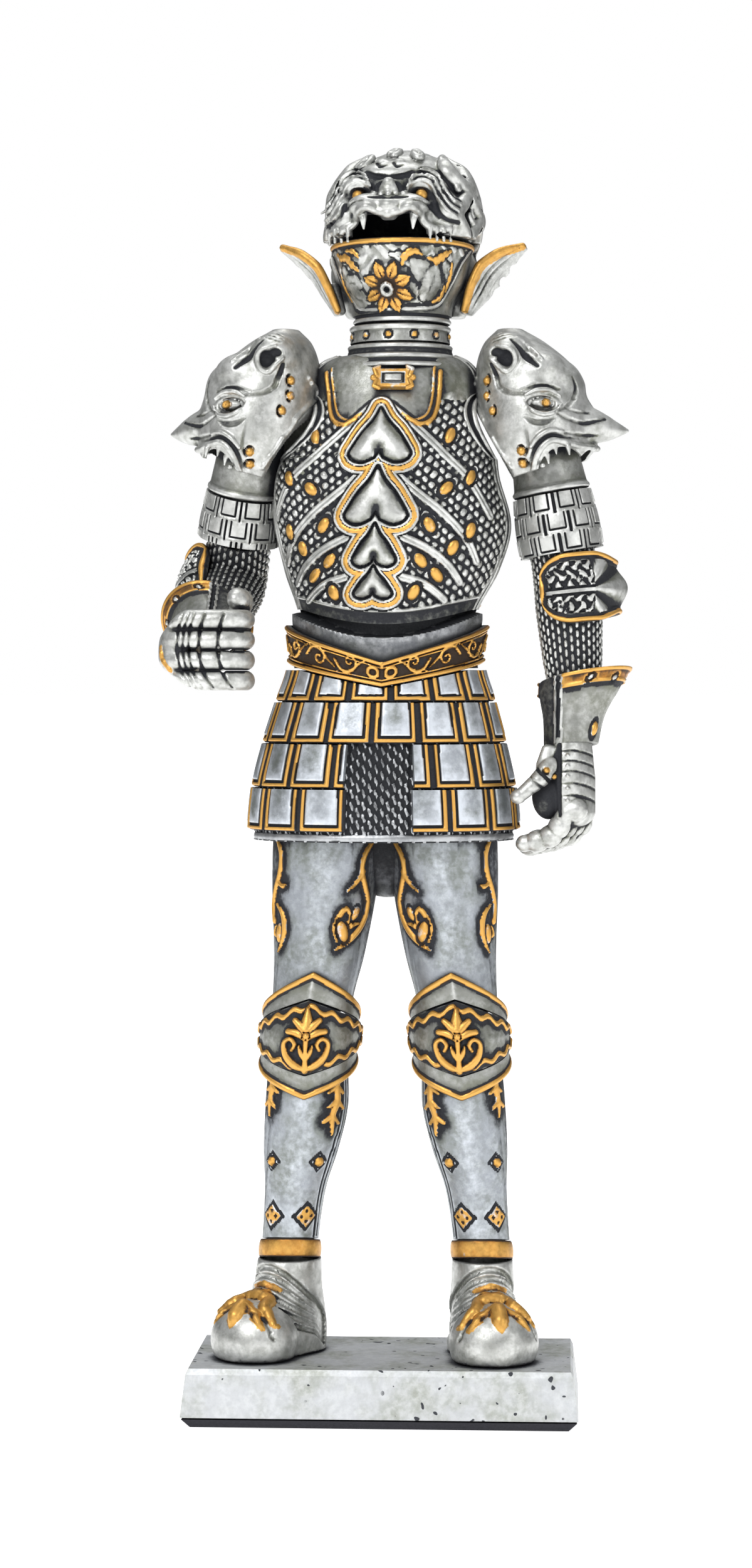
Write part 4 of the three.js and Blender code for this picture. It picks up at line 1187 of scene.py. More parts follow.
def keel(sheet, height, width):
    """The rounded crest down the middle of a limb's plate."""
    sheet.h += height * np.exp(-((sheet.u / width) ** 2))


def make_thigh(side, place):
    thigh = Sheet(THIGH, -180, 180, 64.2, 100.0, pitch=0.26)
    keel(thigh, 0.16, 2.2)
    # Painted light: sheen streaks and a highlight down the front, shade on the sides and just under the
    # skirt.
    thigh.dark += painted_sheen_streaks(thigh.u, thigh.z) - 0.4 * np.exp(-((thigh.u / 5.5) ** 2))
    thigh.dark += 0.42 * shaded_sides(thigh.u, 5.5, 11.0) + 0.4 * smooth_step(thigh.z, 88.5, 91.5)
    gilt_vine(thigh, THIGH_INNER + THIGH_OUTER)
    for at, size, turn in THIGH_BUDS:
        thigh.knob(at, size, 0.45, turn, gold=0.62, ring=0.2)
    leg_piece(thigh, "cuisse", side, place, "bright")


def make_knee_lame(name, form, low, high, side, place, ridge=0.0):
    """A lame between the knee and the limb. Its border is gilt along the edge away from the knee."""
    lame = Sheet(form, -KNEE_SPAN, KNEE_SPAN, low, high, 0.3, 1.3, pitch=0.25)
    edge = high(lame.degrees) - lame.z if form is THIGH else lame.z - low(lame.degrees)
    lame.h = (0.3 * rounded((edge - 0.5) / 0.5) + ridge * np.exp(-np.abs(lame.u) / 0.4)).astype(np.float32)
    lame.gold = (edge < 1.05).astype(np.float32)
    lame.blacken(edge - 1.15, 0.18, 0.8)
    leg_piece(lame, name, side, place)


def make_knee(side, place):
    make_knee_lame("poleyn_upper", THIGH, knee_edge(66.6, 5.0), knee_edge(70.8, 7.6), side, place, ridge=0.1)
    make_knee_lame("poleyn_lower", SHIN, knee_edge(50.4, -5.8), knee_edge(54.2, -4.3), side, place)
    lower_edge, upper_edge = knee_edge(54.5, -4.3), knee_edge(66.3, 5.0)
    cop = Sheet(KNEE_COP, -KNEE_SPAN, KNEE_SPAN, lower_edge, upper_edge, pitch=0.18)
    wave = 0.35 * np.sin(cop.u * 2 * np.pi / 3.2)
    for edge in (lower_edge(cop.degrees) + 1.0 + wave, upper_edge(cop.degrees) - 1.0 - wave):
        q = cop.rib(cop.z - edge, 0.45, 0.4)
        cop.lay(np.abs(q - 1.5) < 0.5, dark=0.8)
        cop.lay(q < 1.05, gold=1)
    cop.dark = cop.dark.astype(np.float32)
    palmette(cop)
    leg_piece(cop, "poleyn_cop", side, place)


def ankle_arch(degrees):
    return 0.9 * np.cos(np.radians(degrees))


def make_shin(side, place):
    shin = Sheet(SHIN, -180, 180, lambda degrees: 27.15 + ankle_arch(degrees), 60.2, pitch=0.26)
    keel(shin, 0.18, 2.0)
    # Painted light: sheen streaks and a highlight down the front, shade on the sides and at the top front,
    # under the knee.
    shin.dark += painted_sheen_streaks(shin.u, shin.z) - 0.42 * np.exp(-((shin.u / 4.5) ** 2))
    shin.dark += 0.4 * shaded_sides(shin.u, 4.4, 9.0)
    shin.dark += 0.35 * smooth_step(shin.z, 51, 54) * (1 - smooth_step(np.abs(shin.u), 6.0, 10.0))
    seam = curve([(-6.4, 60), (-7.2, 52), (-7.0, 46), (-5.8, 40), (-5.0, 34), (-4.8, 28)])
    shin.groove(seam, 0.3, 0.25, dark=0.9)
    shin.groove(seam + [-0.9, 0], 0.2, 0.2, dark=0.7)
    gilt_vine(shin, SHIN_LEAVES)
    for at in (-3.6, 4.6):
        diamond(shin, (at, 40.2), 1.35, dots=1)
        diamond(shin, (at * 0.72, 31.4), 1.9, dots=4)
    leg_piece(shin, "greave", side, place, "bright")


def make_ankle_band(side, place):
    band = Sheet(SHIN, -180, 180, lambda degrees: 24.1 + ankle_arch(degrees),
                 lambda degrees: 27.0 + ankle_arch(degrees), -0.6, 0.15, pitch=0.25)
    q = (band.z - ankle_arch(band.degrees) - 25.55) / 1.5
    band.h = (0.35 * rounded(q)).astype(np.float32)
    band.dark = (0.5 * (np.abs(q) > 0.85)).astype(np.float32)
    band.dark += 0.12
    band.gold[:] = 0.8
    leg_piece(band, "ankle_band", side, place, slot="gilt")


def palmette(sheet):
    """The ornament of the knee: five petals on a stem, between two arms that curl in like a lyre."""
    arms = [(0, 55.6), (1.7, 56.3), (3.1, 57.8), (3.5, 59.7), (2.5, 60.4), (1.7, 59.6), (2.1, 58.7)]
    strands = [([(0, 61.0), (0, 63.4), (0, 65.3)], [0.5, 0.95, 0.15]),
               ([(0, 62), (0, 58), (0, 55.4)], [0.5, 0.4, 0.55])]
    for way in (-1, 1):
        strands.append(([(0, 61.2), (way * 1.0, 62.4), (way * 1.9, 63.2)], [0.5, 0.75, 0.5]))
        strands.append(([(0, 60.4), (way * 1.5, 61.3), (way * 2.9, 61.5)], [0.4, 0.65, 0.5]))
        strands.append(([(way * x, z) for x, z in arms], [0.35, 0.6, 0.6, 0.5, 0.4, 0.35, 0.3]))
        strands.append(([(0, 57.0), (way * 0.7, 58.3), (way * 1.0, 59.3)], [0.3, 0.45, 0.2]))
    for path, half in strands:
        sheet.groove(curve(path, 0.25), np.asarray(half) * 1.6 + 0.15, 0.12, dark=0.9)
    for path, half in strands:
        q = sheet.ridge(curve(path, 0.25), half, 0.7, gold=1.0)
        sheet.lay(q < 1, dark=0)
    sheet.knob((0, 60.9), (0.6, 0.6), 0.95, gold=1.0)


def diamond(sheet, at, half, dots):
    """A diamond-shaped rivet plate with one boss, or four small pits."""
    q = (np.abs(sheet.u - at[0]) + np.abs(sheet.z - at[1])) / half
    sheet.lay((q > 0.95) & (q < 1.3), dark=0.9)
    sheet.h = np.where((q > 0.95) & (q < 1.3), -0.12, np.where(q <= 0.95, 0.25, sheet.h))
    if dots == 1:
        sheet.knob(at, (0.75, 0.75), 0.6, gold=1.0, ring=0.15)
        return
    sheet.lay(q <= 0.95, gold=0.62)
    for du, dz in ((0.85, 0), (-0.85, 0), (0, 0.85), (0, -0.85)):
        pit = np.hypot(sheet.u - at[0] - du, sheet.z - at[1] - dz) / 0.26
        sheet.lay(pit < 1, dark=1.0, h=0.05)


BOOT = np.array([
    [9.5, 0, 0, 5.6, 15.0, 6.2],
    [13.0, 0, 0, 5.7, 14.6, 6.4],
    [16.5, 0, 0, 5.4, 11.0, 6.0],
    [19.5, 0, 0, 5.0, 7.6, 5.6],
    [24.1, 0, 0, 4.8, 5.4, 5.5],
])
ANKLE = (15.7, 2.4)  # where the foot turns
TOE = {"at": (0, -9.0, 12.2), "radii": (7.1, 6.6, 6.4)}


def make_foot(side, parent, turn):
    """A pointed shoe of overlapping lames with a bulbous toe cap and a gilt bow over it."""
    clay = Clay((-8, -16.5, 8.6), (8, 7.5, 24.6), 0.24)
    clay.body(BOOT, 9.5, 24.1)
    clay.ball(TOE["at"], TOE["radii"], 0.8)
    # The lames: arcs that go over the instep and down each side, in black.
    around = np.linspace(-120, 120, 49)
    for k in range(6):
        fall = (23.2 - 1.3 * k) - (8.2 - 0.4 * k) * (1 - np.cos(np.radians(around * 0.78)))
        clay.strand(point_on(BOOT, around, np.maximum(fall, 10), -0.12), 0.5, 0.15, cut=True, dark=1.4,
                    rim=0.16)
    toe_seam = [(-6.2, 13.2), (-4.6, 16.0), (0, 17.6), (4.6, 16), (6.2, 13.2)]
    clay.groove(toe_seam, 0.3, 0.2, lift=-0.05, dark=0.9)
    bow = [
        ([(-6.0, 15.0), (-4.2, 17.0), (-2.2, 18.4), (0, 18.9), (2.2, 18.4), (4.2, 17.0), (6.0, 15.0)],
         [0.3, 0.8, 1.0, 1.1, 1.0, 0.8, 0.3]),
        ([(-4.8, 14.8), (-3.4, 16.4), (-1.4, 17.6)], [0.25, 0.7, 0.6]),
        ([(4.8, 14.8), (3.4, 16.4), (1.4, 17.6)], [0.25, 0.7, 0.6]),
        ([(0, 17.6), (0, 16.6), (0, 15.0)], [1.5, 1.1, 0.2]),
        ([(-2.4, 19.8), (0, 20.4), (2.4, 19.8)], [0.3, 0.7, 0.3]),
    ]
    for path, radii in bow:
        clay.strand(clay.on_front(path, -0.15), radii, 0.2, gold=1.0, rim=0.2)
    for way in (-1, 1):
        crease = [(way * 0.9, 18.6), (way * 2.4, 17.0), (way * 4.0, 15.6)]
        clay.groove(crease, [0.1, 0.26, 0.1], dark=0.8, rim=0.15)
    clay.body(BOOT, 8.4, 24.9, out=-WALL, cut=True)
    inner = [r - WALL for r in TOE["radii"]]
    clay.ball(TOE["at"], inner, 0.05, cut=True)
    clay.slab((0, 0, 4.5), (60, 60, 10), cut=True)
    clay.build(f"sabaton_{side}", "pewter", parent @ turned((*ANKLE, 0), (0, 0, turn)))


for leg_side, leg_place, foot_turn in (("left", np.eye(4), 13), ("right", mirrored(LEG_MIRROR_X), 34)):
    make_thigh(leg_side, leg_place)
    make_knee(leg_side, leg_place)
    make_shin(leg_side, leg_place)
    make_ankle_band(leg_side, leg_place)
    make_foot(leg_side, leg_place, foot_turn)


# ---- neck ------------------------------------------------------------------
def collar(*stops):
    """A round form from pairs of height and radius."""
    return np.array([[z, 2.6, 0.8, side, side, side] for z, side in stops])


def make_gorget():
    lower = Sheet(collar((165.5, 9.3), (167.2, 8.6), (169.3, 7.9)), -180, 180, 165.5, 169.3, pitch=0.22)
    for at in (165.9, 168.9, 167.3):
        lower.rib(lower.z - at, 0.3)
    lines = np.minimum(np.abs(lower.z - 168.4), np.abs(lower.z - 166.4))
    lower.blacken(lines, 0.14, 0.7)
    lower.build("gorget_lower", "pewter")
    upper = Sheet(collar((169.6, 7.9), (172.3, 7.7)), -180, 180, 169.6, 172.3, pitch=0.22)
    upper.rib(upper.z - 171.9, 0.35)
    upper.h = upper.h.astype(np.float32)
    upper.dark -= 0.3
    for k in range(12):
        upper.knob((-22 + 4.1 * k, 170.6), (0.5, 0.5), 0.35, gold=0.6, ring=0.3)
    upper.build("gorget_upper", "pewter")


# ---- the helm --------------------------------------------------------------
HELM = np.array([
    [172.6, 2.9, 0.8, 7.4, 7.4, 7.6],
    [175.6, 3.0, 0.8, 7.7, 8.2, 8.2],
    [178.6, 3.0, 0.4, 9.3, 10.2, 9.8],
    [182.0, 3.0, 0.0, 10.3, 11.4, 11.2],
    [185.6, 3.0, 0.0, 10.8, 12.0, 12.0],
    [190.0, 3.2, 0.2, 10.8, 11.4, 12.2],
    [194.6, 3.3, 0.4, 9.4, 10.2, 11.2],
    [198.0, 3.5, 0.6, 6.6, 7.2, 8.0],
    [199.4, 3.6, 0.6, 3.6, 4.0, 4.4],
])
FACE_X = 1.4  # the beast's face is turned a little to its right
# Balls that make the head, each with its middle and its size or its three radii.
JOWLS = [
    ((12.6, 3.6, 181.0), 2.4), ((11.4, 5.0, 177.2), 2.2),
    ((-6.4, 4.2, 181.0), 2.2), ((-5.0, 5.2, 177.2), 2.0),
]
FACE_LUMPS = [
    ((2.2, -6.6, 194.9), (6.2, 4.0, 2.6)), ((-2.6, -7.8, 193.1), (3.4, 3.2, 1.9)),
    ((6.8, -7.8, 193.1), (3.4, 3.2, 1.9)), ((1.4, -9.8, 192.4), (2.3, 3.2, 2.0)),
    ((-1.7, -10.8, 190.0), (3.3, 3.6, 1.9)), ((4.5, -10.8, 190.0), (3.3, 3.6, 1.9)),
    ((1.4, -11.8, 189.7), (2.2, 3.2, 1.6)), ((-5.2, -6.4, 188.7), (2.6, 4.0, 3.6)),
    ((9.8, -6.4, 188.9), (3.2, 4.4, 3.8)), ((11.2, -5.0, 186.1), (2.2, 3.6, 1.8)),
    ((-5.8, -5.0, 186.1), (1.8, 3.4, 1.8)),
]
MANE_LUMPS = [
    ((13.2, 3.0, 189.2), (2.9, 3.4, 3.0)), ((-6.0, 4.0, 189.0), (2.6, 3.6, 3.4)),
    ((9.8, 6.0, 194.4), (3.6, 4.6, 3.4)), ((-2.4, 6.0, 194.4), (3.4, 4.6, 3.4)),
    ((3.6, 2.0, 198.4), (4.2, 4.6, 1.9)),
]


def make_helm_neck():
    neck = Sheet(HELM, -180, 180, 172.6, 176.2, pitch=0.22)
    neck.rib(neck.z - 173.0, 0.35, 0.35)
    neck.h = neck.h.astype(np.float32)
    neck.blacken(neck.z - 173.6, 0.18, 0.8)
    neck.build("helm_neck", "pewter")


def make_bevor():
    """The chin guard: a gilt rim, leaf scrolls, and a toothed rosette in the middle."""
    sheet = Sheet(HELM, -100, 100, 173.9, 185.0, inner=-0.8, outer=0.3, pitch=0.15, middle=-12)
    u, z = sheet.u, sheet.z
    chin = curve([(-16, 184), (-12.4, 181.4), (-9.4, 178.0), (-6.6, 175.2), (-3.6, 174.5), (4, 174.5),
                  (8, 175.2), (11.4, 178.4), (14.4, 181.8), (18, 184)])
    inside = distance_in(u, z, np.vstack([chin, [(18, 188), (-16, 188)]])) < 0
    curl = np.sin(1.7 * u + 1.5 * np.sin(1.3 * z)) * np.cos(1.6 * z + 1.4 * np.sin(1.2 * u))
    sheet.dark = np.where(inside, -0.45 - 0.3 * smooth_step(curl, -0.2, 0.6), 0.0).astype(np.float32)
    sheet.h = np.where(inside, 0.04 + 0.12 * smooth_step(curl, 0.1, 0.6), 0.05)
    sheet.ridge(chin, 0.3, 0.3)
    sheet.lay(nearness(u, z, chin + [0, 0.55], 0.25) < 1, dark=0.9)
    rim = sheet.rib(z - 184.55, 0.4, 0.4)
    sheet.gold = (rim < 1.05).astype(np.float32)
    sheet.dark = np.where(rim < 1, 0, np.where(rim < 1.9, 0.9, sheet.dark))

    def leaf(path, half, gold, height, lobes):
        line = curve(path, 0.25)
        half = spread(half, len(line)) * (1 + lobes * np.sin(np.arange(len(line)) * 1.5))
        q = nearness(u, z, line, half)
        around = (q >= 1) & (q < 1.3)
        sheet.dark = np.where(q < 1, 0, np.where(around, 0.6, sheet.dark))
        sheet.lay(q < 1, h=np.maximum(sheet.h, height * rounded(q) + 0.08), gold=gold)

    # Broad silver leaves to each side, with the gilt ones thin over them.
    silver = (
        ([(-8.8, 180.8), (-8.0, 178.4), (-6.2, 176.4), (-3.6, 175.6)], [0.5, 1.5, 1.6, 0.4]),
        ([(-8.6, 178.6), (-6.4, 178.6), (-4.6, 178.0)], [0.4, 1.2, 0.3]),
        ([(4.2, 181.2), (6.0, 179.8), (8.0, 178.6), (9.4, 177.4)], [0.6, 1.5, 1.5, 0.4]),
        ([(5.2, 176.0), (6.6, 177.4), (7.8, 179.6), (8.2, 181.0)], [0.4, 1.3, 1.2, 0.4]),
        ([(9.6, 181.8), (10.4, 180.2), (10.2, 178.6)], [0.4, 0.9, 0.3]),
        ([(0.8, 182.4), (2.4, 182.0), (3.6, 180.8)], [0.2, 0.7, 0.3]),
    )
    for path, half in silver:
        leaf(path, half, gold=0.0, height=0.16, lobes=0.22)
        vein = curve(path)
        sheet.lay(nearness(u, z, vein[3:-3], 0.14) < 1, dark=0.5)
    gilt = (
        ([(-10.4, 183.2), (-9.0, 182.4), (-7.6, 182.4), (-6.2, 181.2), (-4.8, 180.2)],
         [0.2, 0.5, 0.55, 0.5, 0.2]),
        ([(-7.4, 183.4), (-5.8, 183.2), (-4.6, 182.2)], [0.2, 0.4, 0.2]),
        ([(-9.8, 180.2), (-9.4, 178.2), (-8.2, 176.2)], [0.2, 0.4, 0.2]),
        ([(2.6, 180.8), (3.2, 182.2), (4.6, 182.9), (5.8, 182.4)], [0.2, 0.5, 0.5, 0.2]),
        ([(6.8, 182.0), (8.2, 181.6), (9.6, 182.4), (11.2, 183.2)], [0.2, 0.55, 0.5, 0.2]),
        ([(11.4, 181.4), (11.0, 179.6), (9.8, 177.4)], [0.2, 0.4, 0.2]),
        ([(7.0, 175.6), (8.6, 176.4), (9.6, 178.0)], [0.2, 0.35, 0.2]),
    )
    for path, half in gilt:
        leaf(path, half, gold=0.8, height=0.3, lobes=0.3)

    add_rosette(sheet, 177.65)
    sheet.h = sheet.h.astype(np.float32)
    sheet.build("helm_bevor", "pewter")


def add_rosette(sheet, height):
    """Eight gilt petals with toothed edges, round a hollow boss."""
    radius, angle = np.hypot(sheet.u, sheet.z - height), np.arctan2(sheet.z - height, sheet.u)
    petals = 8
    petal = 1 - np.abs((angle * petals / (2 * np.pi)) % 1 - 0.5) * 2
    edge = 2.2 + 1.75 * petal ** 0.8 + 0.3 * np.abs(((petal * 3) % 1) - 0.5)
    on, core = radius < edge, radius < 1.0
    rib = 0.22 * (petal > 0.86) * smooth_step(radius, 1.4, 2.0)
    sheet.lay(on, h=0.3 + 0.3 * petal * smooth_step(radius, 1.2, 2.6) - rib, gold=~core,
              dark=0.85 * ((petal < 0.12) & (radius > 1.2)))
    sheet.lay(~on & (radius < edge + 0.4), dark=0.95)
    sheet.lay(np.abs(radius - 1.15) < 0.14, dark=0.9)
    sheet.lay(core, h=0.95 * rounded(np.abs(radius - 0.75) / 0.45) + 0.15)
    sheet.dark = np.where(radius < 0.45, 1.2, np.where(core, -0.3, sheet.dark))


def both_ways(stops, middle=FACE_X):
    """A line on the face and its mirror image about the face's middle."""
    stops = np.asarray(stops, float)
    return stops, np.stack([2 * middle - stops[:, 0], stops[:, 1]], -1)


def make_helm():
    """The skull of the helm: a lion's head whose open mouth is the sight, with a curled mane behind."""
    clay = Clay((-10.5, -16.0, 174.0), (18.0, 15.6, 200.9), 0.19)
    clay.body(HELM, 176.3, 199.4)
    for at, size in JOWLS:
        clay.ball(at, (size, size * 1.6, size * 1.7), 0.8, dark=0.5, rim=0.4)
    for at, radii in FACE_LUMPS:
        clay.ball(at, radii, 0.9)
    for at, radii in MANE_LUMPS:
        clay.ball(at, radii, 0.7)
    add_mane(clay)
    add_mouth(clay)
    add_eyes(clay)
    add_nose(clay)
    clay.build("helm_skull", "pewter")


def add_mouth(clay):
    """Hollows the helm and opens its mouth, with a lip, fangs, and small teeth at the corners."""
    lip = both_ways([(FACE_X, 188.4), (3.2, 188.9), (4.9, 189.4), (6.2, 188.5), (7.1, 187.1), (8.8, 186.4),
                     (10.8, 186.5)])
    lips = [clay.on_front(side, 0.1) for side in lip]
    outer = both_ways([(8.4, 190.1), (9.2, 188.7), (10.4, 187.8), (12.2, 187.5)])
    folds = [clay.on_front(side, 0.0) for side in outer]
    clay.body(HELM, 175.0, 198.4, out=-1.1, cut=True, dark=1.2, rim=0.5)
    clay.slab((FACE_X, -12, 185.1), (11.6, 24, 5.2), cut=True, blend=0.5, dark=1.0, rim=0.1)
    for way in (-1, 1):
        clay.ball((FACE_X + way * 3.1, -11, 187.5), (2.1, 9.0, 1.3), 0.4, cut=True, dark=1.0, rim=0.1)
    for line in lips:
        clay.strand(line, [0.75, 0.7, 0.65, 0.6, 0.6, 0.5], 0.35)
    for line in folds:
        clay.strand(line, [0.45, 0.35, 0.2], 0.25, cut=True, dark=0.9, rim=0.2)
    clay.slab((3.2, -8.3, 180.7), (40, 20, 9.6), cut=True)
    for way in (-1, 1):
        x = FACE_X + way * 4.0
        fang = [(x, -12.4, 189.1), (x - 0.1 * way, -12.8, 187.7), (x - 0.2 * way, -12.6, 186.2)]
        clay.strand(fang, [0.75, 0.55, 0.2], 0.15, dark=-0.8, rim=0.1)
    for k in range(4):
        for x in (7.8 + 1.05 * k, 2 * FACE_X - 7.8 - 1.05 * k):
            y = clay.front(x, 186.3) + 0.2
            clay.strand([(x, y, 186.4), (x, y - 0.1, 184.6)], [0.42, 0.28], 0.1, dark=-0.6, rim=0.1)
    for side in both_ways([(7.2, 184.9), (9.4, 185.5), (11.6, 185.1)]):
        clay.strand(clay.on_front(side, 0.0) + [0, 0.3, 0], 0.28, 0.1, cut=True, dark=1.0, rim=0.25)


def add_eyes(clay):
    """The eyes lie deep under ridged brows that sweep down over the cheeks."""
    for ((x, z),) in both_ways([(6.3, 191.6)]):
        y = clay.front(x, z)
        clay.ball((x, y, z - 0.1), (1.7, 1.4, 1.25), 0.3, cut=True, dark=0.8, rim=0.2)
        clay.ball((x + 0.1, y + 0.55, z), (0.95, 0.95, 0.95), 0.05, gold=1.0, dark=0.0, rim=0.2)
    brow = np.array([(3.9, 191.9), (4.9, 193.4), (6.4, 193.9), (8.0, 193.2), (9.1, 191.1), (10.3, 189.4),
                     (11.9, 188.4)])
    for shift, radius in (((0, 0), 0.42), ((0.35, 0.95), 0.4), ((0.75, 1.9), 0.38)):
        for side in both_ways(brow + shift):
            line = clay.on_front(side, 0.1)
            clay.strand(line, [0.25, radius, radius, radius, radius * 0.8, 0.2], 0.15)
    for shift in ((0.15, 0.48), (0.55, 1.42), (0.95, 2.4)):
        for side in both_ways(brow + shift):
            clay.groove(side, [0.15, 0.2, 0.22, 0.22, 0.2, 0.1], lift=0.05, dark=0.9, rim=0.15)
    for side in both_ways([(5.4, 190.5), (6.8, 190.3), (8.2, 189.5), (9.2, 188.1)]):
        clay.groove(side, [0.2, 0.35, 0.25], 0.2, lift=0.05, dark=0.8, rim=0.15)


def add_nose(clay):
    """The nose, the row of beads below it, and the folds of the forehead."""
    for x, z in ((-0.2, 193.1), (3.0, 193.1)):
        clay.ball(clay.spot(x, z), (0.7, 0.6, 0.9), 0.2, cut=True, dark=1.0, rim=0.25)
    clay.ball(clay.spot(FACE_X, 193.5, 0.1), (0.9, 0.8, 0.7), 0.2)
    clay.groove([(-1.6, 191.0), (FACE_X, 190.8), (4.4, 191.0)], 0.26)
    for k in range(5):
        x = FACE_X + (k - 2) * 1.12
        clay.ball(clay.spot(x, 191.6, 0.1), 0.48, 0.1, dark=-0.4, rim=0.1)
    fold = [(-2.2, 195.5), (-0.8, 194.7), (1.4, 194.4), (3.6, 194.7), (5.4, 195.4), (7.0, 195.1)]
    clay.groove(fold, [0.2, 0.4, 0.4, 0.4, 0.2], 0.2, lift=0.05, dark=0.9)
    for x in (0.3, 2.9):
        knot = [(x - 0.9, 196.9), (x - 0.3, 196.2), (x + 0.7, 196.5)]
        clay.groove(knot, [0.15, 0.34, 0.15], 0.2, dark=0.9, rim=0.15)
        clay.ball(clay.spot(x, 197.1, 0.1), (1.0, 0.8, 0.5), 0.3)


def add_mane(clay):
    """Locks that run back from the brow and down behind, each ending in a curl, with grooves between."""
    locks = 15
    first, span = 56, 304 - 56  # degrees round the helm
    for k in range(locks):
        start = first + span * k / (locks - 1)
        sway = 8 if k % 2 else -8
        stops = [(start * 0.85 + 27, 198.6), (start + sway, 195.8), (start - sway, 192.4),
                 (start + sway, 189.0), (start - sway * 0.6, 185.6), (start + sway, 182.2), (start, 179.4)]
        line = curve([point_on(HELM, degrees, z, 0.5) for degrees, z in stops], 0.5)
        clay.strand(line, [0.7, 1.35, 1.5, 1.4, 1.3, 1.0, 0.4], 0.25)
        clay.strand(line + [0, 0, 0.2], [0.1, 0.3, 0.3, 0.2], 0.1, dark=-0.2, rim=0.05)
    for k in range(locks):
        start = first + span * (k + 0.5) / (locks - 1)
        sway = -8 if k % 2 else 8
        stops = [(start + sway * 0.3, 197.4), (start + sway * 0.5, 193.4), (start - sway * 0.5, 189.6),
                 (start, 185.8), (start + sway * 0.4, 181.8)]
        line = curve([point_on(HELM, degrees, z, 1.2) for degrees, z in stops], 0.5)
        clay.strand(line, [0.2, 0.5, 0.5, 0.45, 0.2], 0.15, cut=True, dark=0.9, rim=0.2)
    curls = [(52, 197.2, 1.5, 1), (62, 193.6, 1.7, -1), (72, 189.6, 1.7, 1), (-48, 197.2, 1.4, -1),
             (-58, 193.6, 1.5, 1), (-70, 189.6, 1.5, -1), (96, 195.6, 1.6, 1), (-96, 195.6, 1.6, -1),
             (135, 196.4, 1.6, 1), (-135, 196.4, 1.6, -1), (180, 196.8, 1.6, 1), (20, 199.0, 1.2, 1),
             (-14, 199.0, 1.2, -1), (84, 192.4, 1.6, -1), (-84, 192.4, 1.5, 1)]
    for degrees, z, radius, way in curls:
        flat = spiral((0, 0), radius, 1.4 * way, 200)
        place = [point_on(HELM, degrees + du * 5.6, min(z + dz, 199.3), 0.8) for du, dz in flat]
        clay.strand(np.array(place), [0.62, 0.5, 0.35], 0.12)


def make_wing(side):
    """An ear like a curled leaf, gilt along its front edge."""
    way = 1 if side == "left" else -1
    centre = 3.0
    stops = [(10.4, 0.0, 174.6), (12.0, 0.2, 177.6), (13.9, 0.8, 180.8), (16.6, 1.6, 183.3),
             (19.2, 2.2, 185.0)]
    path = curve([(centre + way * x, y, z) for x, y, z in stops], 0.5)
    clay = Clay(path.min(0) - 4.6, path.max(0) + 4.6, 0.18)
    across = np.array([0.6, 0.72, -0.34]) if side == "left" else np.array([-0.16, 0.9, -0.3])
    across /= np.linalg.norm(across)
    clay.blade(path, [1.2, 2.6, 3.2, 2.6, 0.8], [0.5, 0.6, 0.55, 0.5, 0.4], across, 0.05)
    clay.strand([path[0] + [way * 0.4, 1.2, 4.0], path[0] + [-way * 0.6, 0.6, 0.4]], [0.9, 0.8], 0.5,
                dark=0.5, rim=0.2)
    edge = path - across * spread([1.0, 2.3, 2.8, 2.2, 0.5], len(path))[:, None]
    clay.strand(edge, [0.55, 0.7, 0.75, 0.75, 0.55], 0.15, gold=1.0, rim=0.15)
    clay.strand(path + across * 0.6, [0.3, 0.4, 0.35, 0.2], 0.2, dark=-0.2, rim=0.1)
    inner = np.array([-way * 0.85, 0.1, 0.5])
    for shift in (-1.3, -0.3, 1.4):
        for face in (-1, 1):
            clay.strand(path + across * shift + inner * 0.62 * face, [0.1, 0.26, 0.26, 0.1], 0.1, cut=True,
                        dark=0.9, rim=0.2)
    for k in range(4):
        at = path[int(len(path) * (0.35 + 0.16 * k))] + across * (3.3 - 0.35 * k)
        clay.ball(at, 0.75, 0.2, cut=True)
    clay.build(f"ear_wing_{side}", "gilt")


# ---- shoulders -------------------------------------------------------------
PAULDRON = np.array([
    [147.4, 24.2, -0.6, 7.9, 8.4, 9.4],
    [151.0, 24.5, -0.8, 9.0, 10.0, 10.2],
    [156.0, 24.3, -0.8, 9.5, 10.8, 10.4],
    [161.0, 23.7, -0.6, 9.2, 10.4, 9.6],
    [166.0, 22.3, -0.4, 7.6, 8.6, 7.8],
    [169.6, 20.8, -0.2, 4.9, 5.8, 5.2],
    [171.8, 20.0, 0.0, 2.0, 2.6, 2.4],
])
RIGHT_HEAD_TURN = 17  # degrees by which the right shoulder's head looks further out than the left one's


def about_upright(at, turn):
    """A turn about an upright line through a place."""
    made = turned((*at, 0), (0, 0, turn))
    back = np.eye(4)
    back[:2, 3] = -np.asarray(at)
    return made @ back


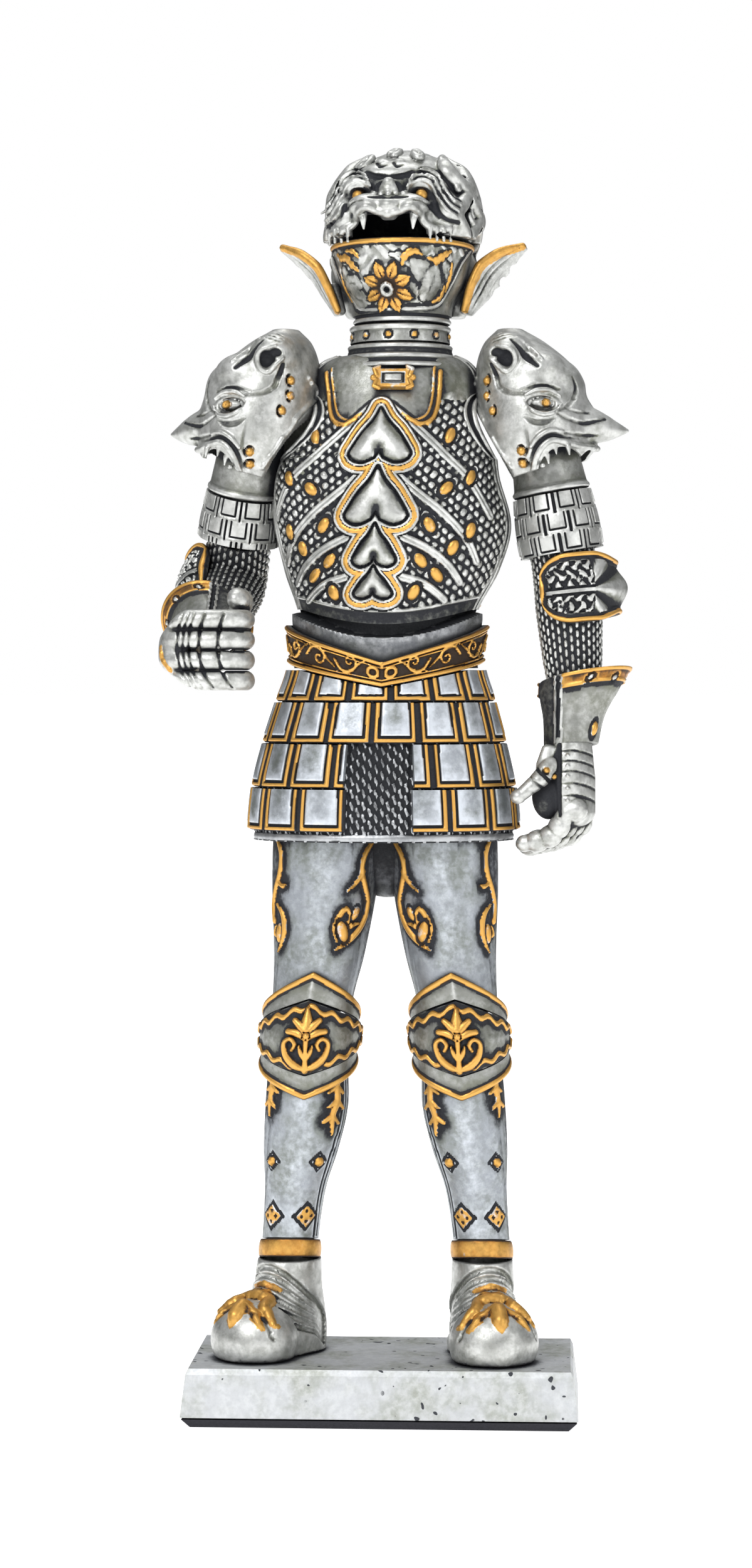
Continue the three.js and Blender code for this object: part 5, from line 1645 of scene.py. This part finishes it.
def make_pauldron(side, place):
    """A shoulder guard modelled as a beast's head that bites down on the arm."""
    clay = Clay((13.0, -13.4, 143.0), (39.6, 11.4, 173.2), 0.19)
    clay.body(PAULDRON, 147.4, 171.8)
    clay.ball((36.4, -2, 162.0), (4.4, 14, 3.4), 0.9, cut=True)
    clay.blade(curve([(27, -3.4, 156.7), (31.6, -4.2, 156.4), (35.2, -3.6, 155.8), (38.4, -2.6, 155.6)]),
               [4.4, 3.6, 2.2, 0.4], [3.5, 3.3, 2.1, 0.35], (0, 1, 0.1), 0.5)
    clay.ball((19.6, -5.4, 167.2), (3.9, 4.8, 3.7), 0.8)
    clay.ball((24.6, -6.2, 164.6), (4.6, 4.4, 3.2), 1.2)
    clay.ball((28.6, -3.6, 162.4), (2.9, 5.0, 3.8), 1.0)

    add_lip(clay)
    add_snout(clay)
    add_eye(clay)
    add_cheek(clay)

    # A few grooves of hair run back over the shoulder and down behind.
    for start, end in ((168.6, 160.5), (165.8, 157.2), (162.6, 154.4), (159.4, 152.0)):
        stops = [(100, start), (128, (start * 2 + end) / 3), (158, (start + end) / 2), (186, end + 1.2),
                 (214, end)]
        path = curve([point_on(PAULDRON, degrees, z, 0.05) for degrees, z in stops], 0.5)
        clay.strand(path, [0.12, 0.42, 0.5, 0.4, 0.12], 0.3, cut=True, dark=0.8, rim=0.18)

    clay.body(PAULDRON, 140.0, 170.6, out=-WALL, cut=True, dark=0.9, rim=0.4)
    clay.slab((26, 0, 139.2), (70, 60, 20), (0, -16, 0), cut=True)
    clay.build(f"pauldron_{side}", "pewter", place)


def fold(clay, stops, radius, blend=0.15, dark=0.95):
    """A black crease in the beast's skin."""
    clay.groove(stops, radius, blend, 0.05, dark, 0.18)


def welt(clay, stops, radius, lift=0.1):
    """A raised and rubbed crease."""
    clay.strand(clay.on_front(stops, lift), radius, 0.18, dark=-0.2, rim=0.1)


def add_lip(clay):
    """The corner of the mouth is cut away over the arm, with two welts round it and teeth within."""
    clay.ball((28.4, -8.6, 148.4), (3.9, 9.0, 4.3), 0.3, cut=True, dark=0.9, rim=0.2)
    clay.ball((38.5, -4, 148.6), (8.5, 18, 5.6), 0.15, cut=True, dark=0.5, rim=0.2)
    welt(clay, [(33.8, 152.9), (31.0, 152.9), (28.6, 153.4), (26.6, 153.6), (25.2, 152.6), (24.2, 150.8),
                (23.7, 148.7)], 0.5)
    fold(clay, [(31, 154.0), (28, 154.2), (26.2, 154.3), (24.7, 153.2), (23.7, 151.4), (23.1, 148.8)],
         [0.1, 0.25, 0.3, 0.3, 0.25])
    welt(clay, [(28.6, 154.9), (26.4, 155.1), (24.6, 154.1), (23.4, 152.6)], [0.2, 0.42, 0.42, 0.3])
    for x, z in ((27.2, 152.3), (26.0, 150.8), (25.3, 149.2), (29.2, 152.2)):
        y = -0.6 + clay.front(23.0, 152.0) * 0.9
        clay.strand([(x, y, z + 0.5), (x + 0.2, y - 0.1, z - 0.8)], [0.45, 0.15], 0.1, dark=-0.7, rim=0.1)


def add_snout(clay):
    """The snout, with its nostril and wrinkles."""
    clay.ball(clay.spot(19.5, 166.4, 0.1), (1.5, 1.5, 1.35), 0.35, cut=True, dark=1.1, rim=0.35)
    clay.ball((17.9, clay.front(17.9, 167.3) + 0.1, 167.4), (1.1, 0.9, 0.7), 0.35, cut=True, dark=0.9,
              rim=0.3)
    welt(clay, [(17.0, 166.5), (18.4, 165.3), (19.6, 164.4), (20.7, 165.2), (21.0, 166.6), (20.2, 167.9),
                (18.0, 168.5)],
         [0.3, 0.45, 0.45, 0.4, 0.45, 0.4, 0.25])
    fold(clay, [(20.4, 169.4), (21.6, 168.2), (22.8, 166.6), (24.4, 165.2)], [0.25, 0.5, 0.55, 0.35])
    welt(clay, [(21.2, 169.8), (22.6, 168.8), (24.0, 167.4), (25.2, 166.2)], [0.2, 0.4, 0.4, 0.2])
    for shift in (0.0, 0.75, 1.5):
        fold(clay, [(17.4, 169.0 + shift * 0.7), (18.9, 169.6 + shift * 0.7), (20.2, 169.9 + shift * 0.6)],
             [0.1, 0.2, 0.1], dark=0.6)
    fold(clay, [(17.2, 165.5), (18.0, 163.7), (18.4, 162.2), (19.8, 161.2), (22.2, 160.9)],
         [0.35, 0.45, 0.45, 0.4, 0.3], 0.2)


def add_eye(clay):
    """Lids round an almond, with a gilt pupil."""
    fold(clay, [(21.8, 161.4), (23.6, 161.9), (25.6, 162.0), (27.9, 161.6)], [0.2, 0.35, 0.4, 0.3])
    clay.ball((25.2, clay.front(25.2, 159.5), 159.4), (2.6, 1.3, 1.25), 0.25, cut=True, dark=1.0, rim=0.3)
    clay.ball((25.1, clay.front(25.2, 159.4) - 0.1, 159.4), (1.9, 1.0, 0.85), 0.05, dark=-1.0, rim=0.1)
    y = clay.front(25.7, 159.4)
    clay.ball((25.8, y, 159.4), (0.95, 0.45, 0.95), 0.05, cut=True, dark=1.1, rim=0.05)
    clay.ball((25.8, y + 0.3, 159.4), (0.68, 0.75, 0.68), 0.02, gold=0.8, dark=-0.2, rim=0.08)
    clay.ball((25.8, y - 0.45, 159.4), 0.26, 0.05, cut=True, dark=1.2, rim=0.05)
    fold(clay, [(22.4, 159.6), (23.6, 160.5), (25.4, 160.8), (27.2, 160.4), (28.2, 159.4)],
         [0.12, 0.24, 0.26, 0.24, 0.12], 0.1)
    fold(clay, [(22.4, 159.4), (23.8, 158.5), (25.6, 158.2), (27.2, 158.6), (28.2, 159.3)],
         [0.12, 0.22, 0.22, 0.2, 0.12], 0.1)
    welt(clay, [(22.6, 160.6), (24.2, 161.4), (26.4, 161.4), (28.0, 160.5)], [0.2, 0.35, 0.35, 0.2], 0.2)
    welt(clay, [(22.6, 159.2), (23.8, 158.1), (25.4, 157.6), (27.2, 158.0), (28.2, 159.2)],
         [0.2, 0.35, 0.4, 0.35, 0.2], 0.2)
    fold(clay, [(22.4, 157.2), (24.0, 156.4), (25.8, 156.4), (27.0, 156.9)], [0.2, 0.5, 0.5, 0.2])
    fold(clay, [(30.0, 163.6), (30.5, 161.8), (30.0, 160.0), (28.8, 158.7), (27.6, 158.2)],
         [0.2, 0.45, 0.5, 0.4, 0.2], 0.25)
    fold(clay, [(27.4, 157.9), (29.4, 156.9), (31.6, 156.4), (33.6, 156.8), (35.0, 157.2)],
         [0.2, 0.35, 0.35, 0.2])
    fold(clay, [(28.8, 158.7), (30.6, 158.1), (32.4, 158.1)], [0.2, 0.3, 0.15])
    fold(clay, [(27.6, 154.9), (30.6, 154.6), (33.8, 154.5)], [0.15, 0.28, 0.12])


def add_cheek(clay):
    """The cheek plate is smooth, with a rolled inner edge and gilt rivets."""
    clay.slab((8.5, 0, 149.4), (20, 60, 30), (0, -29.3, 0), 0.4, cut=True, dark=0.6, rim=0.3)
    welt(clay, [(14.9, 163.9), (14.3, 161.2), (15.3, 158.6), (16.7, 155.6), (18.5, 152.4), (20.4, 149.6)],
         0.4, -0.1)
    fold(clay, [(22.2, 156.6), (22.8, 154.4), (23.0, 152.2)], [0.15, 0.28, 0.2])
    for x, z in ((16.6, 163.2), (16.6, 160.8), (17.5, 158.4), (22.0, 152.0), (22.2, 150.1)):
        y = clay.front(x, z)
        clay.ball((x, y, z), (1.0, 0.5, 1.0), 0.1, cut=True, dark=1.1, rim=0.2)
        clay.ball((x, y + 0.25, z), (0.68, 0.7, 0.68), 0.05, gold=0.8, dark=0.0, rim=0.1)


make_gorget()
make_helm_neck()
make_bevor()
make_helm()
make_wing("left")
make_wing("right")
make_pauldron("left", np.eye(4))
make_pauldron("right", mirrored(SHOULDER_MIRROR_X) @ about_upright((23.6, -0.6), RIGHT_HEAD_TURN))


# ---- arms ------------------------------------------------------------------
UPPER_ARM = np.array([
    [-25.0, 0, 0, 6.2, 6.2, 6.2],
    [-18.0, 0, 0, 6.5, 6.5, 6.5],
    [-12.0, 0, 0, 5.9, 5.9, 5.9],
    [-3.0, 0, 0, 5.0, 5.2, 5.2],
])
CUFF = np.array([
    [-24.6, -1.2, 0, 4.3, 4.4, 4.4],
    [-20.0, -0.4, 0, 4.9, 5.0, 5.0],
    [-16.0, 0.7, 0, 6.3, 6.0, 6.0],
    [-12.6, 2.0, 0.2, 7.0, 7.0, 7.2],
])
COUTER = np.array([
    [-5.6, 0.7, 0.2, 6.7, 7.1, 7.1],
    [-2.6, 0.8, 0.3, 7.2, 7.7, 7.6],
    [0.0, 0.8, 0.4, 7.5, 8.0, 7.8],
    [2.6, 0.8, 0.3, 7.3, 7.8, 7.6],
    [5.6, 0.7, 0.2, 7.0, 7.3, 7.2],
])
# Where each arm's joints are, with the turn of the piece there. The left arm hangs and the right one is bent.
# `out` is the way that the arm's outer side faces.
ARMS = {
    "left": {"out": 1, "upper": ((24.5, 0.0, 158.0), (0, -10, 0)), "elbow": ((29.2, 0.2, 130.4), (-4, -6, 0)),
             "fore": ((29.2, 0.2, 130.4), (-8, -4, 0)), "sleeve_end": -21.8, "cuff_end": -24.4,
             "guard_from": -42, "cuff_seam_x": 27.7},
    "right": {"out": -1, "upper": ((-20.2, -1.0, 158.0), (15, 9, 0)),
              "elbow": ((-24.6, 6.2, 131.4), (-25, 6, 0)),
              "fore": ((-24.6, 6.2, 131.4), (-65, 5, 0)), "sleeve_end": -19.8, "cuff_end": -22.2,
              "guard_from": 24, "cuff_seam_x": -26.0},
}
TILE_TALL = 3.2


def sided(form, out):
    """A form with its centre on the other side for the right arm."""
    return form * np.array([1, out, 1, 1, 1, 1])


def make_sleeve(side):
    """A plain cannon under the shoulder guard, and rows of small tiles below it."""
    arm = ARMS[side]
    upper, middle = turned(*arm["upper"]), 60 * arm["out"]
    cannon = Sheet(UPPER_ARM, -180, 180, -12.2, -3.8, pitch=0.3, middle=middle)
    # Painted shade under the shoulder guard: the cannon darkens towards its top, and is a little lighter
    # below.
    cannon.dark = (0.9 * smooth_step(cannon.z, -8.4, -5.5) - 0.15).astype(np.float32)
    cannon.rib(cannon.z + 11.7, 0.45)
    cannon.build(f"arm_cannon_{side}", "pewter", upper)

    top = -12.5
    tiles = Sheet(UPPER_ARM, -180, 180, arm["sleeve_end"], top, pitch=0.2, middle=middle)
    level = (top - tiles.z) / TILE_TALL
    cell = (tiles.degrees / 36 + 0.5 * (np.floor(level) % 2)) % 1
    seam = np.minimum(cell, 1 - cell) * 36 * np.radians(6.4)
    foot = (1 - level % 1) * TILE_TALL
    rim = np.minimum(seam - 0.15, foot - 0.1)
    relief = np.where(rim < 0, -0.3, np.where(rim < 0.55, 0.22, np.where(rim < 0.75, -0.1, 0.3)))
    lines = (rim < 0) | ((rim > 0.55) & (rim < 0.75))
    tiles.h = relief.astype(np.float32)
    tiles.dark = np.where(lines, 1.0, np.where(rim > 0.75, -0.3, 0)).astype(np.float32)
    tiles.build(f"tile_sleeve_{side}", "pewter", upper)


def make_couter(side):
    """The elbow's plate: two engraved panels beside a bar, a fan behind them and a gilt rim."""
    arm = ARMS[side]
    out, start = arm["out"], arm["guard_from"]

    def swell(degrees, z):
        return np.exp(-(((degrees * out - 100) / 22) ** 2) - (z / 2.4) ** 2)

    def half_tall(degrees):
        front = np.clip((np.asarray(degrees, float) * out - start - 40) / 40, -0.999, 0)
        return 2.0 + 3.5 * np.sqrt(1 - front**2) - 1.2 * smooth_step(np.asarray(degrees) * out, 30, 80)

    ends = sorted((start * out, 190 * out))
    guard = Sheet(sided(COUTER, out), *ends, lambda degrees: -half_tall(degrees), half_tall, middle=90 * out,
                  pitch=0.17, outer=swell, inner=lambda degrees, z: swell(degrees, z) - WALL)
    across = guard.u * out - (start - 90) * math.radians(7.9)
    margin = np.minimum(half_tall(guard.degrees) - np.abs(guard.z), across * 0.8)
    for low, high in ((0.15, 5.4), (-5.4, -1.25)):
        panel = (margin > 1.5) & (across < 9.4) & (guard.z > low) & (guard.z < high)
        swirl = np.sin(3.6 * across + 1.9 * np.sin(2.6 * guard.z))
        swirl = swirl + np.cos(3.7 * guard.z + 1.8 * np.sin(3.1 * across))
        guard.lay(panel, h=0.32 * np.tanh(3 * swirl), dark=np.where(swirl < 0, 1.0, -0.5))
    bar = np.abs(guard.z + 0.55) / 0.7
    on_bar = (bar < 1) & (margin > 1.0)
    guard.lay(on_bar, h=np.where(bar < 0.5, 0.25, -0.25))
    guard.lay(on_bar & (bar > 0.5), dark=1.0)
    fan = (across > 9.6) & (margin > 1.2)
    ribs = np.cos(7 * np.arctan2(guard.z + 0.5, across - 8.2))
    guard.lay(fan, h=0.3 * ribs, dark=0.8 * (ribs < -0.7))
    rim = guard.rib(margin - 0.42, 0.42, 0.42)
    guard.lay(rim < 1.02, gold=1)
    guard.dark = np.where(rim < 1, 0, np.where((margin > 0.84) & (margin < 1.3), 1.0, guard.dark))
    guard.h, guard.dark = guard.h.astype(np.float32), guard.dark.astype(np.float32)
    guard.build(f"couter_{side}", "pewter", turned(*arm["elbow"]))


def make_cuff(side):
    """A flared cuff with a gilt band, rivets, and a black seam down its front, with painted shade on the side
    of it that is turned inward.
    """
    arm = ARMS[side]
    out, fore = arm["out"], turned(*arm["fore"])
    rim_at = lambda degrees: -13.4 + 0.8 * out * np.sin(np.radians(degrees))
    cuff = Sheet(sided(CUFF, out), -180, 180, arm["cuff_end"], rim_at, middle=90 * out, pitch=0.22)
    top = rim_at(cuff.degrees) - cuff.z
    on_band = top < 2.3
    cuff.h = np.where(on_band, 0.2, 0).astype(np.float32)
    cuff.h += 0.25 * rounded((top - 0.25) / 0.3) + 0.2 * rounded((top - 2.1) / 0.3)
    cuff.gold = on_band.astype(np.float32)
    cuff.blacken(top - 2.5, 0.2, 0.8)
    front = -90 * math.radians(6.6)
    for along in (1.2, 5.8, 10.4, 15.0):
        cuff.knob(((front + along) * out, -14.6), (0.42, 0.42), 0.35, gold=0.0, ring=0.45)
    before = np.cos(np.radians(cuff.degrees)) > 0
    from_seam = cuff.points @ fore[0, :3] + fore[0, 3] - arm["cuff_seam_x"]
    seam = np.where(before, np.abs(from_seam), FAR)
    # The side of the seam that is turned inward is painted darker, as shade.
    shaded_inner_side = before & (from_seam * out < -0.6)
    relief = np.where(seam < 0.28, -0.3, np.where(seam < 0.65, 0.2, np.where(shaded_inner_side, 0, cuff.h)))
    cuff.h = relief.astype(np.float32)
    beside = np.where(seam < 0.65, -0.3, np.where(shaded_inner_side, 0.45, cuff.dark))
    cuff.dark = np.where(seam < 0.32, 1.1, beside)
    cuff.lay((seam < 0.7) | shaded_inner_side, gold=0)
    cuff.knob(((front + 7.0) * out, -22.4), (0.6, 1.1), 0.5, gold=0.7, ring=0.4)
    cuff.build(f"cuff_{side}", "pewter", fore)


def make_mail_sleeve(side):
    """Mail in columns of links, which bends inside the elbow."""
    arm = ARMS[side]

    def stop(joint, z):
        place = turned(*arm[joint])
        return place[:3, :3] @ [0, 0, z] + place[:3, 3]

    stops = [stop("upper", arm["sleeve_end"] + 0.6), stop("elbow", 3.0), stop("elbow", 0), stop("fore", -6),
             stop("fore", -10), stop("fore", -15.4)]
    path = curve(stops, 0.8)
    radii = spread([5.1, 5.3, 5.3, 5.0, 4.7, 4.1], len(path))
    sheet = Tube(path, radii, (1, 0, 0), pitch=0.18, outer=-0.2)
    column = sheet.degrees / 12.0
    row = sheet.z / 1.5 + 0.5 * (np.floor(column) % 2)
    link = np.hypot((column % 1 - 0.5) / 0.27, (row % 1 - 0.5) / 0.46)
    sheet.h = (0.42 * rounded(link) - 0.15).astype(np.float32)
    sheet.dark = np.where(link < 0.9, -0.6, 1.0).astype(np.float32)
    sheet.build(f"mail_sleeve_{side}", "dark_pewter")


# ---- hands -----------------------------------------------------------------
def finger_nodes(side):
    return [f"hand_plate_{side}", *[f"finger_{side}_{k + 1}" for k in range(4)], f"thumb_{side}"]


def plated(clay, path, radius, wide, across, pitch):
    """A finger of overlapping scales, each a little wider at its far end, with a black line under it."""
    line = curve(path, 0.3)
    steps = lengths(line)
    flare = 0.86 + 0.22 * ((steps / pitch) % 1)
    taper = 1 - 0.2 * steps / steps[-1]
    clay.blade(line, wide * flare * taper, radius * flare * taper, across, 0.12)
    for at in np.arange(pitch, steps[-1], pitch):
        k = int(np.searchsorted(steps, at))
        if k + 1 < len(line):
            clay.blade(line[k - 1:k + 1], wide * 1.12, radius * 1.12, across, 0.05, dark=0.75, rim=0.02)
            clay.blade(line[k:k + 2], wide, radius, across, 0.05)


# Stops along a finger of the open hand, as shares of its length.
FINGER_BEND = ((0.03, 0, 0.12), (-0.24, 0.12, -0.36), (-0.66, 0.24, -0.56), (-1, 0.3, -0.62))


def make_left_hand():
    """The open hand hangs with its thumb forward and its plated fingers bent inward."""
    clay = Clay((18.6, -13.6, 88.0), (37.4, 5.4, 107.6), 0.17)
    across = np.array([0.45, 0.88, 0.0])
    clay.blade([(29.6, -3.4, 106.4), (30.2, -3.8, 101), (30.6, -4, 95.8)], [4.2, 4.8, 4.7], [3.2, 2.9, 2.4],
               across, 0.1)
    # Painted shade: a dark ball fills the palm, where the hand's shadow lies.
    clay.ball((26.2, -4.6, 98.2), (2.6, 3.0, 3.6), 0.5, dark=1.5, rim=0.3)
    for k in range(4):
        aside = (k - 1.5) * 2.5
        reach = (6.6, 7.2, 6.9, 6.2)[k]
        base = np.array([30.4 + 0.45 * aside, -4 + 0.88 * aside, 94.9])
        path = [base + reach * np.array(step) for step in FINGER_BEND]
        plated(clay, path, 1.6, 1.35, across, pitch=2.3)
    thumb = curve([(26.4, -6.8, 103.0), (25.2, -8.0, 101.4), (23.6, -8.8, 100.0), (22.2, -9.1, 98.8)], 0.3)
    clay.strand(thumb, [1.7, 1.5, 1.25, 1.1], 0.2)
    clay.ball((21.5, -9.2, 98.3), (1.25, 1.25, 1.15), 0.05, dark=-0.3, rim=0.1)
    for k in (0.3, 0.55, 0.8):
        at = thumb[int(k * (len(thumb) - 1))]
        ring = [at + 1.45 * (np.array([0.7, 0.1, -0.7]) * math.cos(t) - np.array([0, 1, 0]) * math.sin(t))
                for t in np.linspace(0, math.pi, 9)]
        clay.strand(np.array(ring), 0.3, 0.1, cut=True, dark=1.0, rim=0.2)

    clay.blade([(26.4, -6.6, 105.6), (25.8, -7.0, 103.0), (25.2, -7.4, 100.8)], [1.3, 1.6, 1.1],
               [0.8, 0.9, 0.7], (1, 0.2, 0.4), 0.1, dark=-0.1, rim=0.05)

    # A seam divides the hand from the inner plate; lames cross the wrist, each with its rivet.
    clay.groove([(27.9, 106.4), (27.9, 101), (28.0, 95.4)], 0.3)
    for z in (105.4, 103.8, 102.2, 100.3, 98.4):
        lame = [(28.4, z), (30.2, z + 0.1), (32.4, z - 0.5), (34.0, z - 1.4)]
        clay.groove(lame, 0.14, 0.2, dark=0.6, rim=0.08)
        clay.ball(clay.spot(29.2, z - 0.7), 0.34, 0.05, gold=0.4, dark=0.3, rim=0.1)
    clay.ball(clay.spot(30.4, 96.2, 0.8), (2.0, 1.6, 1.8), 0.3, dark=-0.2, rim=0.1)
    for x, z in ((25.9, 102.4), (27.1, 101.4)):
        y = clay.front(x, z)
        clay.ball((x, y, z), (0.75, 0.45, 0.75), 0.05, cut=True, dark=1.0, rim=0.2)
        clay.ball((x, y + 0.1, z), 0.45, 0.05, gold=1.0, dark=0.0, rim=0.1)
    clay.build("gauntlet_hand_left", "pewter", nodes=finger_nodes("left"))


def make_right_hand():
    """The fist is closed round nothing, as if about a grip, with its rows of finger plates to the front."""
    clay = Clay((-36.8, -30.0, 111.6), (-16.4, -11.4, 132.0), 0.18)
    up = np.array([0, 0, 1.0])
    clay.blade(curve([(-26.6, -15.9, 121), (-29.4, -18.6, 121), (-31.2, -21.4, 121)]), [4.6, 5.7, 6.0],
               [3.1, 2.4, 1.8], up, 0.1)
    for k in range(4):
        z = 121 + (1.5 - k) * 3.1
        loop = [(-31.2, -20.6, z), (-31.2, -23.0, z), (-29.6, -24.9, z), (-26.4, -25.8, z), (-22.4, -25.6, z),
                (-20.2, -24.0, z), (-19.9, -21.2, z)]
        clay.blade(curve(loop, 0.4), 1.5, [1.7, 1.5, 1.4, 1.3], up, 0.1)
    plated(clay, [(-22.6, -17.4, 124.6), (-21.2, -18.4, 127.2), (-20.6, -20.6, 128.6), (-21.4, -23.2, 128.8)],
           1.6, 1.5, np.array([1.0, 0, 0.4]), pitch=1.9)

    # A smooth plate over the knuckles, black lines between the rows and across them, and worn gilding.
    clay.ball((-30.2, -21.0, 120.6), (3.2, 4.8, 6.7), 0.3)
    clay.slab((-32.7, -20, 112.2), (24, 30, 10), (0, 34.6, 0), 0.9, cut=True)
    clay.slab((-34.7, -20, 128.9), (24, 30, 10), (0, -43.5, 0), 0.9, cut=True)
    for z, first in ((124.1, -28.0), (121.0, -28.6), (117.9, -27.6)):
        clay.groove([(first, z + 0.2), (-26, z), (-23, z - 0.1), (-20.2, z - 0.2)], 0.26, 0.15, rim=0.15)
    for x, half in ((-30.0, 0.2), (-29.1, 0.2), (-28.2, 0.2), (-26.6, 0.28), (-23.7, 0.28)):
        arc = [(x + 0.9, 126.6), (x + 0.1, 123.6), (x, 120.6), (x + 0.7, 117.6), (x + 2.2, 115.0)]
        clay.groove(arc, half, rim=0.12)
    clay.strand(clay.on_front([(-32.6, 121.4), (-32.4, 119.6), (-31.2, 118.0)]), 0.4, 0.3, gold=0.7, rim=0.2)
    clay.build("gauntlet_hand_right", "pewter", nodes=finger_nodes("right"))


# ---- the clasp at the neck --------------------------------------------------
def make_clasp():
    """A small framed plate, with a curl at each side, lies on the neck of the breastplate."""
    clay = Clay((-5.4, -4.6, -3.6), (5.4, 2.6, 3.6), 0.12)
    clay.slab((0, 0, 0), (6.0, 1.2, 3.2), blend=0.2, gold=0.62, rim=0.3)
    clay.slab((0, -0.7, 0), (3.4, 0.8, 1.7), blend=0.15, cut=True, gold=0.0, dark=0.9, rim=0.2)
    clay.slab((0, -0.5, 0), (2.6, 0.7, 1.1), blend=0.15, gold=0.0, dark=-0.2, rim=0.1)
    for way in (-1, 1):
        for z in (-1, 1):
            clay.strand([(way * 2.6, -0.5, 0.4 * z), (way * 3.0, -0.6, 1.5 * z), (way * 2.2, -0.6, 1.9 * z)],
                        0.34, 0.1, gold=0.62, rim=0.2)
        clay.ball((way * 3.1, -0.5, 0), 0.5, 0.1, gold=0.62, rim=0.2)
    clay.build("neck_clasp", "gilt", turned((2, -9.3, 163.3), (-25, 0, 0)))


for arm_side in ARMS:
    make_sleeve(arm_side)
    make_couter(arm_side)
    make_cuff(arm_side)
for arm_side in ARMS:
    make_mail_sleeve(arm_side)
make_left_hand()
make_right_hand()
make_clasp()


# ---- the studio ------------------------------------------------------------
def put(name, data, at, aim):
    """A light or a camera at a place, turned towards another."""
    made = bpy.data.objects.new(name, data)
    bpy.context.scene.collection.objects.link(made)
    made.location = at
    made.rotation_euler = (Vector(aim) - Vector(at)).to_track_quat("-Z", "Y").to_euler()
    return made


# Each light: its place, what it points at, the side of its square and its power.
LIGHTS = {
    "key": ((-0.30, -0.75, 0.62), (0, 0, 0.11), 0.5, 4.6),
    "fill": ((0.7, -0.6, 0.3), (0, 0, 0.1), 0.4, 1.2),
    "top": ((0, 0.15, 0.9), (0, 0, 0.1), 0.5, 2.4),
}
CAMERA_DISTANCE, CAMERA_TURN, CAMERA_HEIGHT = 0.56, math.radians(3), 0.115
CAMERA_AIM = (-0.0012, 0, 0.1)


def make_floor():
    bpy.ops.mesh.primitive_plane_add(size=120.0, location=(0, 0, 0))
    floor = bpy.context.object
    floor.name = "studio_floor"
    made = bpy.data.materials.new("studio_white")
    made.use_nodes = True
    inputs = made.node_tree.nodes["Principled BSDF"].inputs
    inputs["Base Color"].default_value = colour(0.95, 0.95, 0.95)
    inputs["Roughness"].default_value = 0.9
    inputs["Emission Color"].default_value = colour(1, 1, 1)
    inputs["Emission Strength"].default_value = 0.85
    floor.data.materials.append(made)


def make_dome():
    """A grey dome, dark low down and lighter above in front, is what the metal mirrors. No camera sees it."""
    bpy.ops.mesh.primitive_uv_sphere_add(segments=48, ring_count=24, radius=1.7, location=(0, 0, 0.1))
    dome = bpy.context.object
    dome.name = "studio_dome"
    dome.visible_camera = dome.visible_shadow = False
    card = bpy.data.materials.new("studio_card")
    tree = new_tree(card)
    place = add_node(tree, "ShaderNodeSeparateXYZ", {0: object_place(tree)})
    upper = maths(tree, "MULTIPLY", ramp(tree, place.outputs[2], -0.3, 1.5), 0.5)
    front = maths(tree, "MULTIPLY", ramp(tree, place.outputs[1], 0.9, -1.5), 0.3)
    lit = maths(tree, "ADD", maths(tree, "ADD", upper, front), 0.05)
    glow = add_node(tree, "ShaderNodeEmission", {"Color": colour(0.97, 0.98, 1.0), "Strength": lit})
    finish_tree(tree, "ShaderNodeOutputMaterial", glow)
    dome.data.materials.append(card)


def make_studio():
    make_floor()
    make_dome()
    world = bpy.data.worlds.new("studio")
    bpy.context.scene.world = world
    tree = new_tree(world)
    shine = add_node(tree, "ShaderNodeBackground", {"Color": colour(1, 1, 1), "Strength": 1.0})
    finish_tree(tree, "ShaderNodeOutputWorld", shine)

    for name, (at, aim, size, power) in LIGHTS.items():
        light = bpy.data.lights.new(name, "AREA")
        light.shape, light.size, light.energy = "SQUARE", size, power
        put(name, light, at, aim)

    data = bpy.data.cameras.new("camera")
    data.lens, data.sensor_width, data.sensor_fit = 81.0, 36.0, "AUTO"
    data.clip_start, data.clip_end = 0.01, 400
    eye = (CAMERA_DISTANCE * math.sin(CAMERA_TURN), -CAMERA_DISTANCE * math.cos(CAMERA_TURN), CAMERA_HEIGHT)
    bpy.context.scene.camera = put("camera", data, eye, CAMERA_AIM)
    bpy.context.scene.view_settings.view_transform = "Standard"


make_studio()
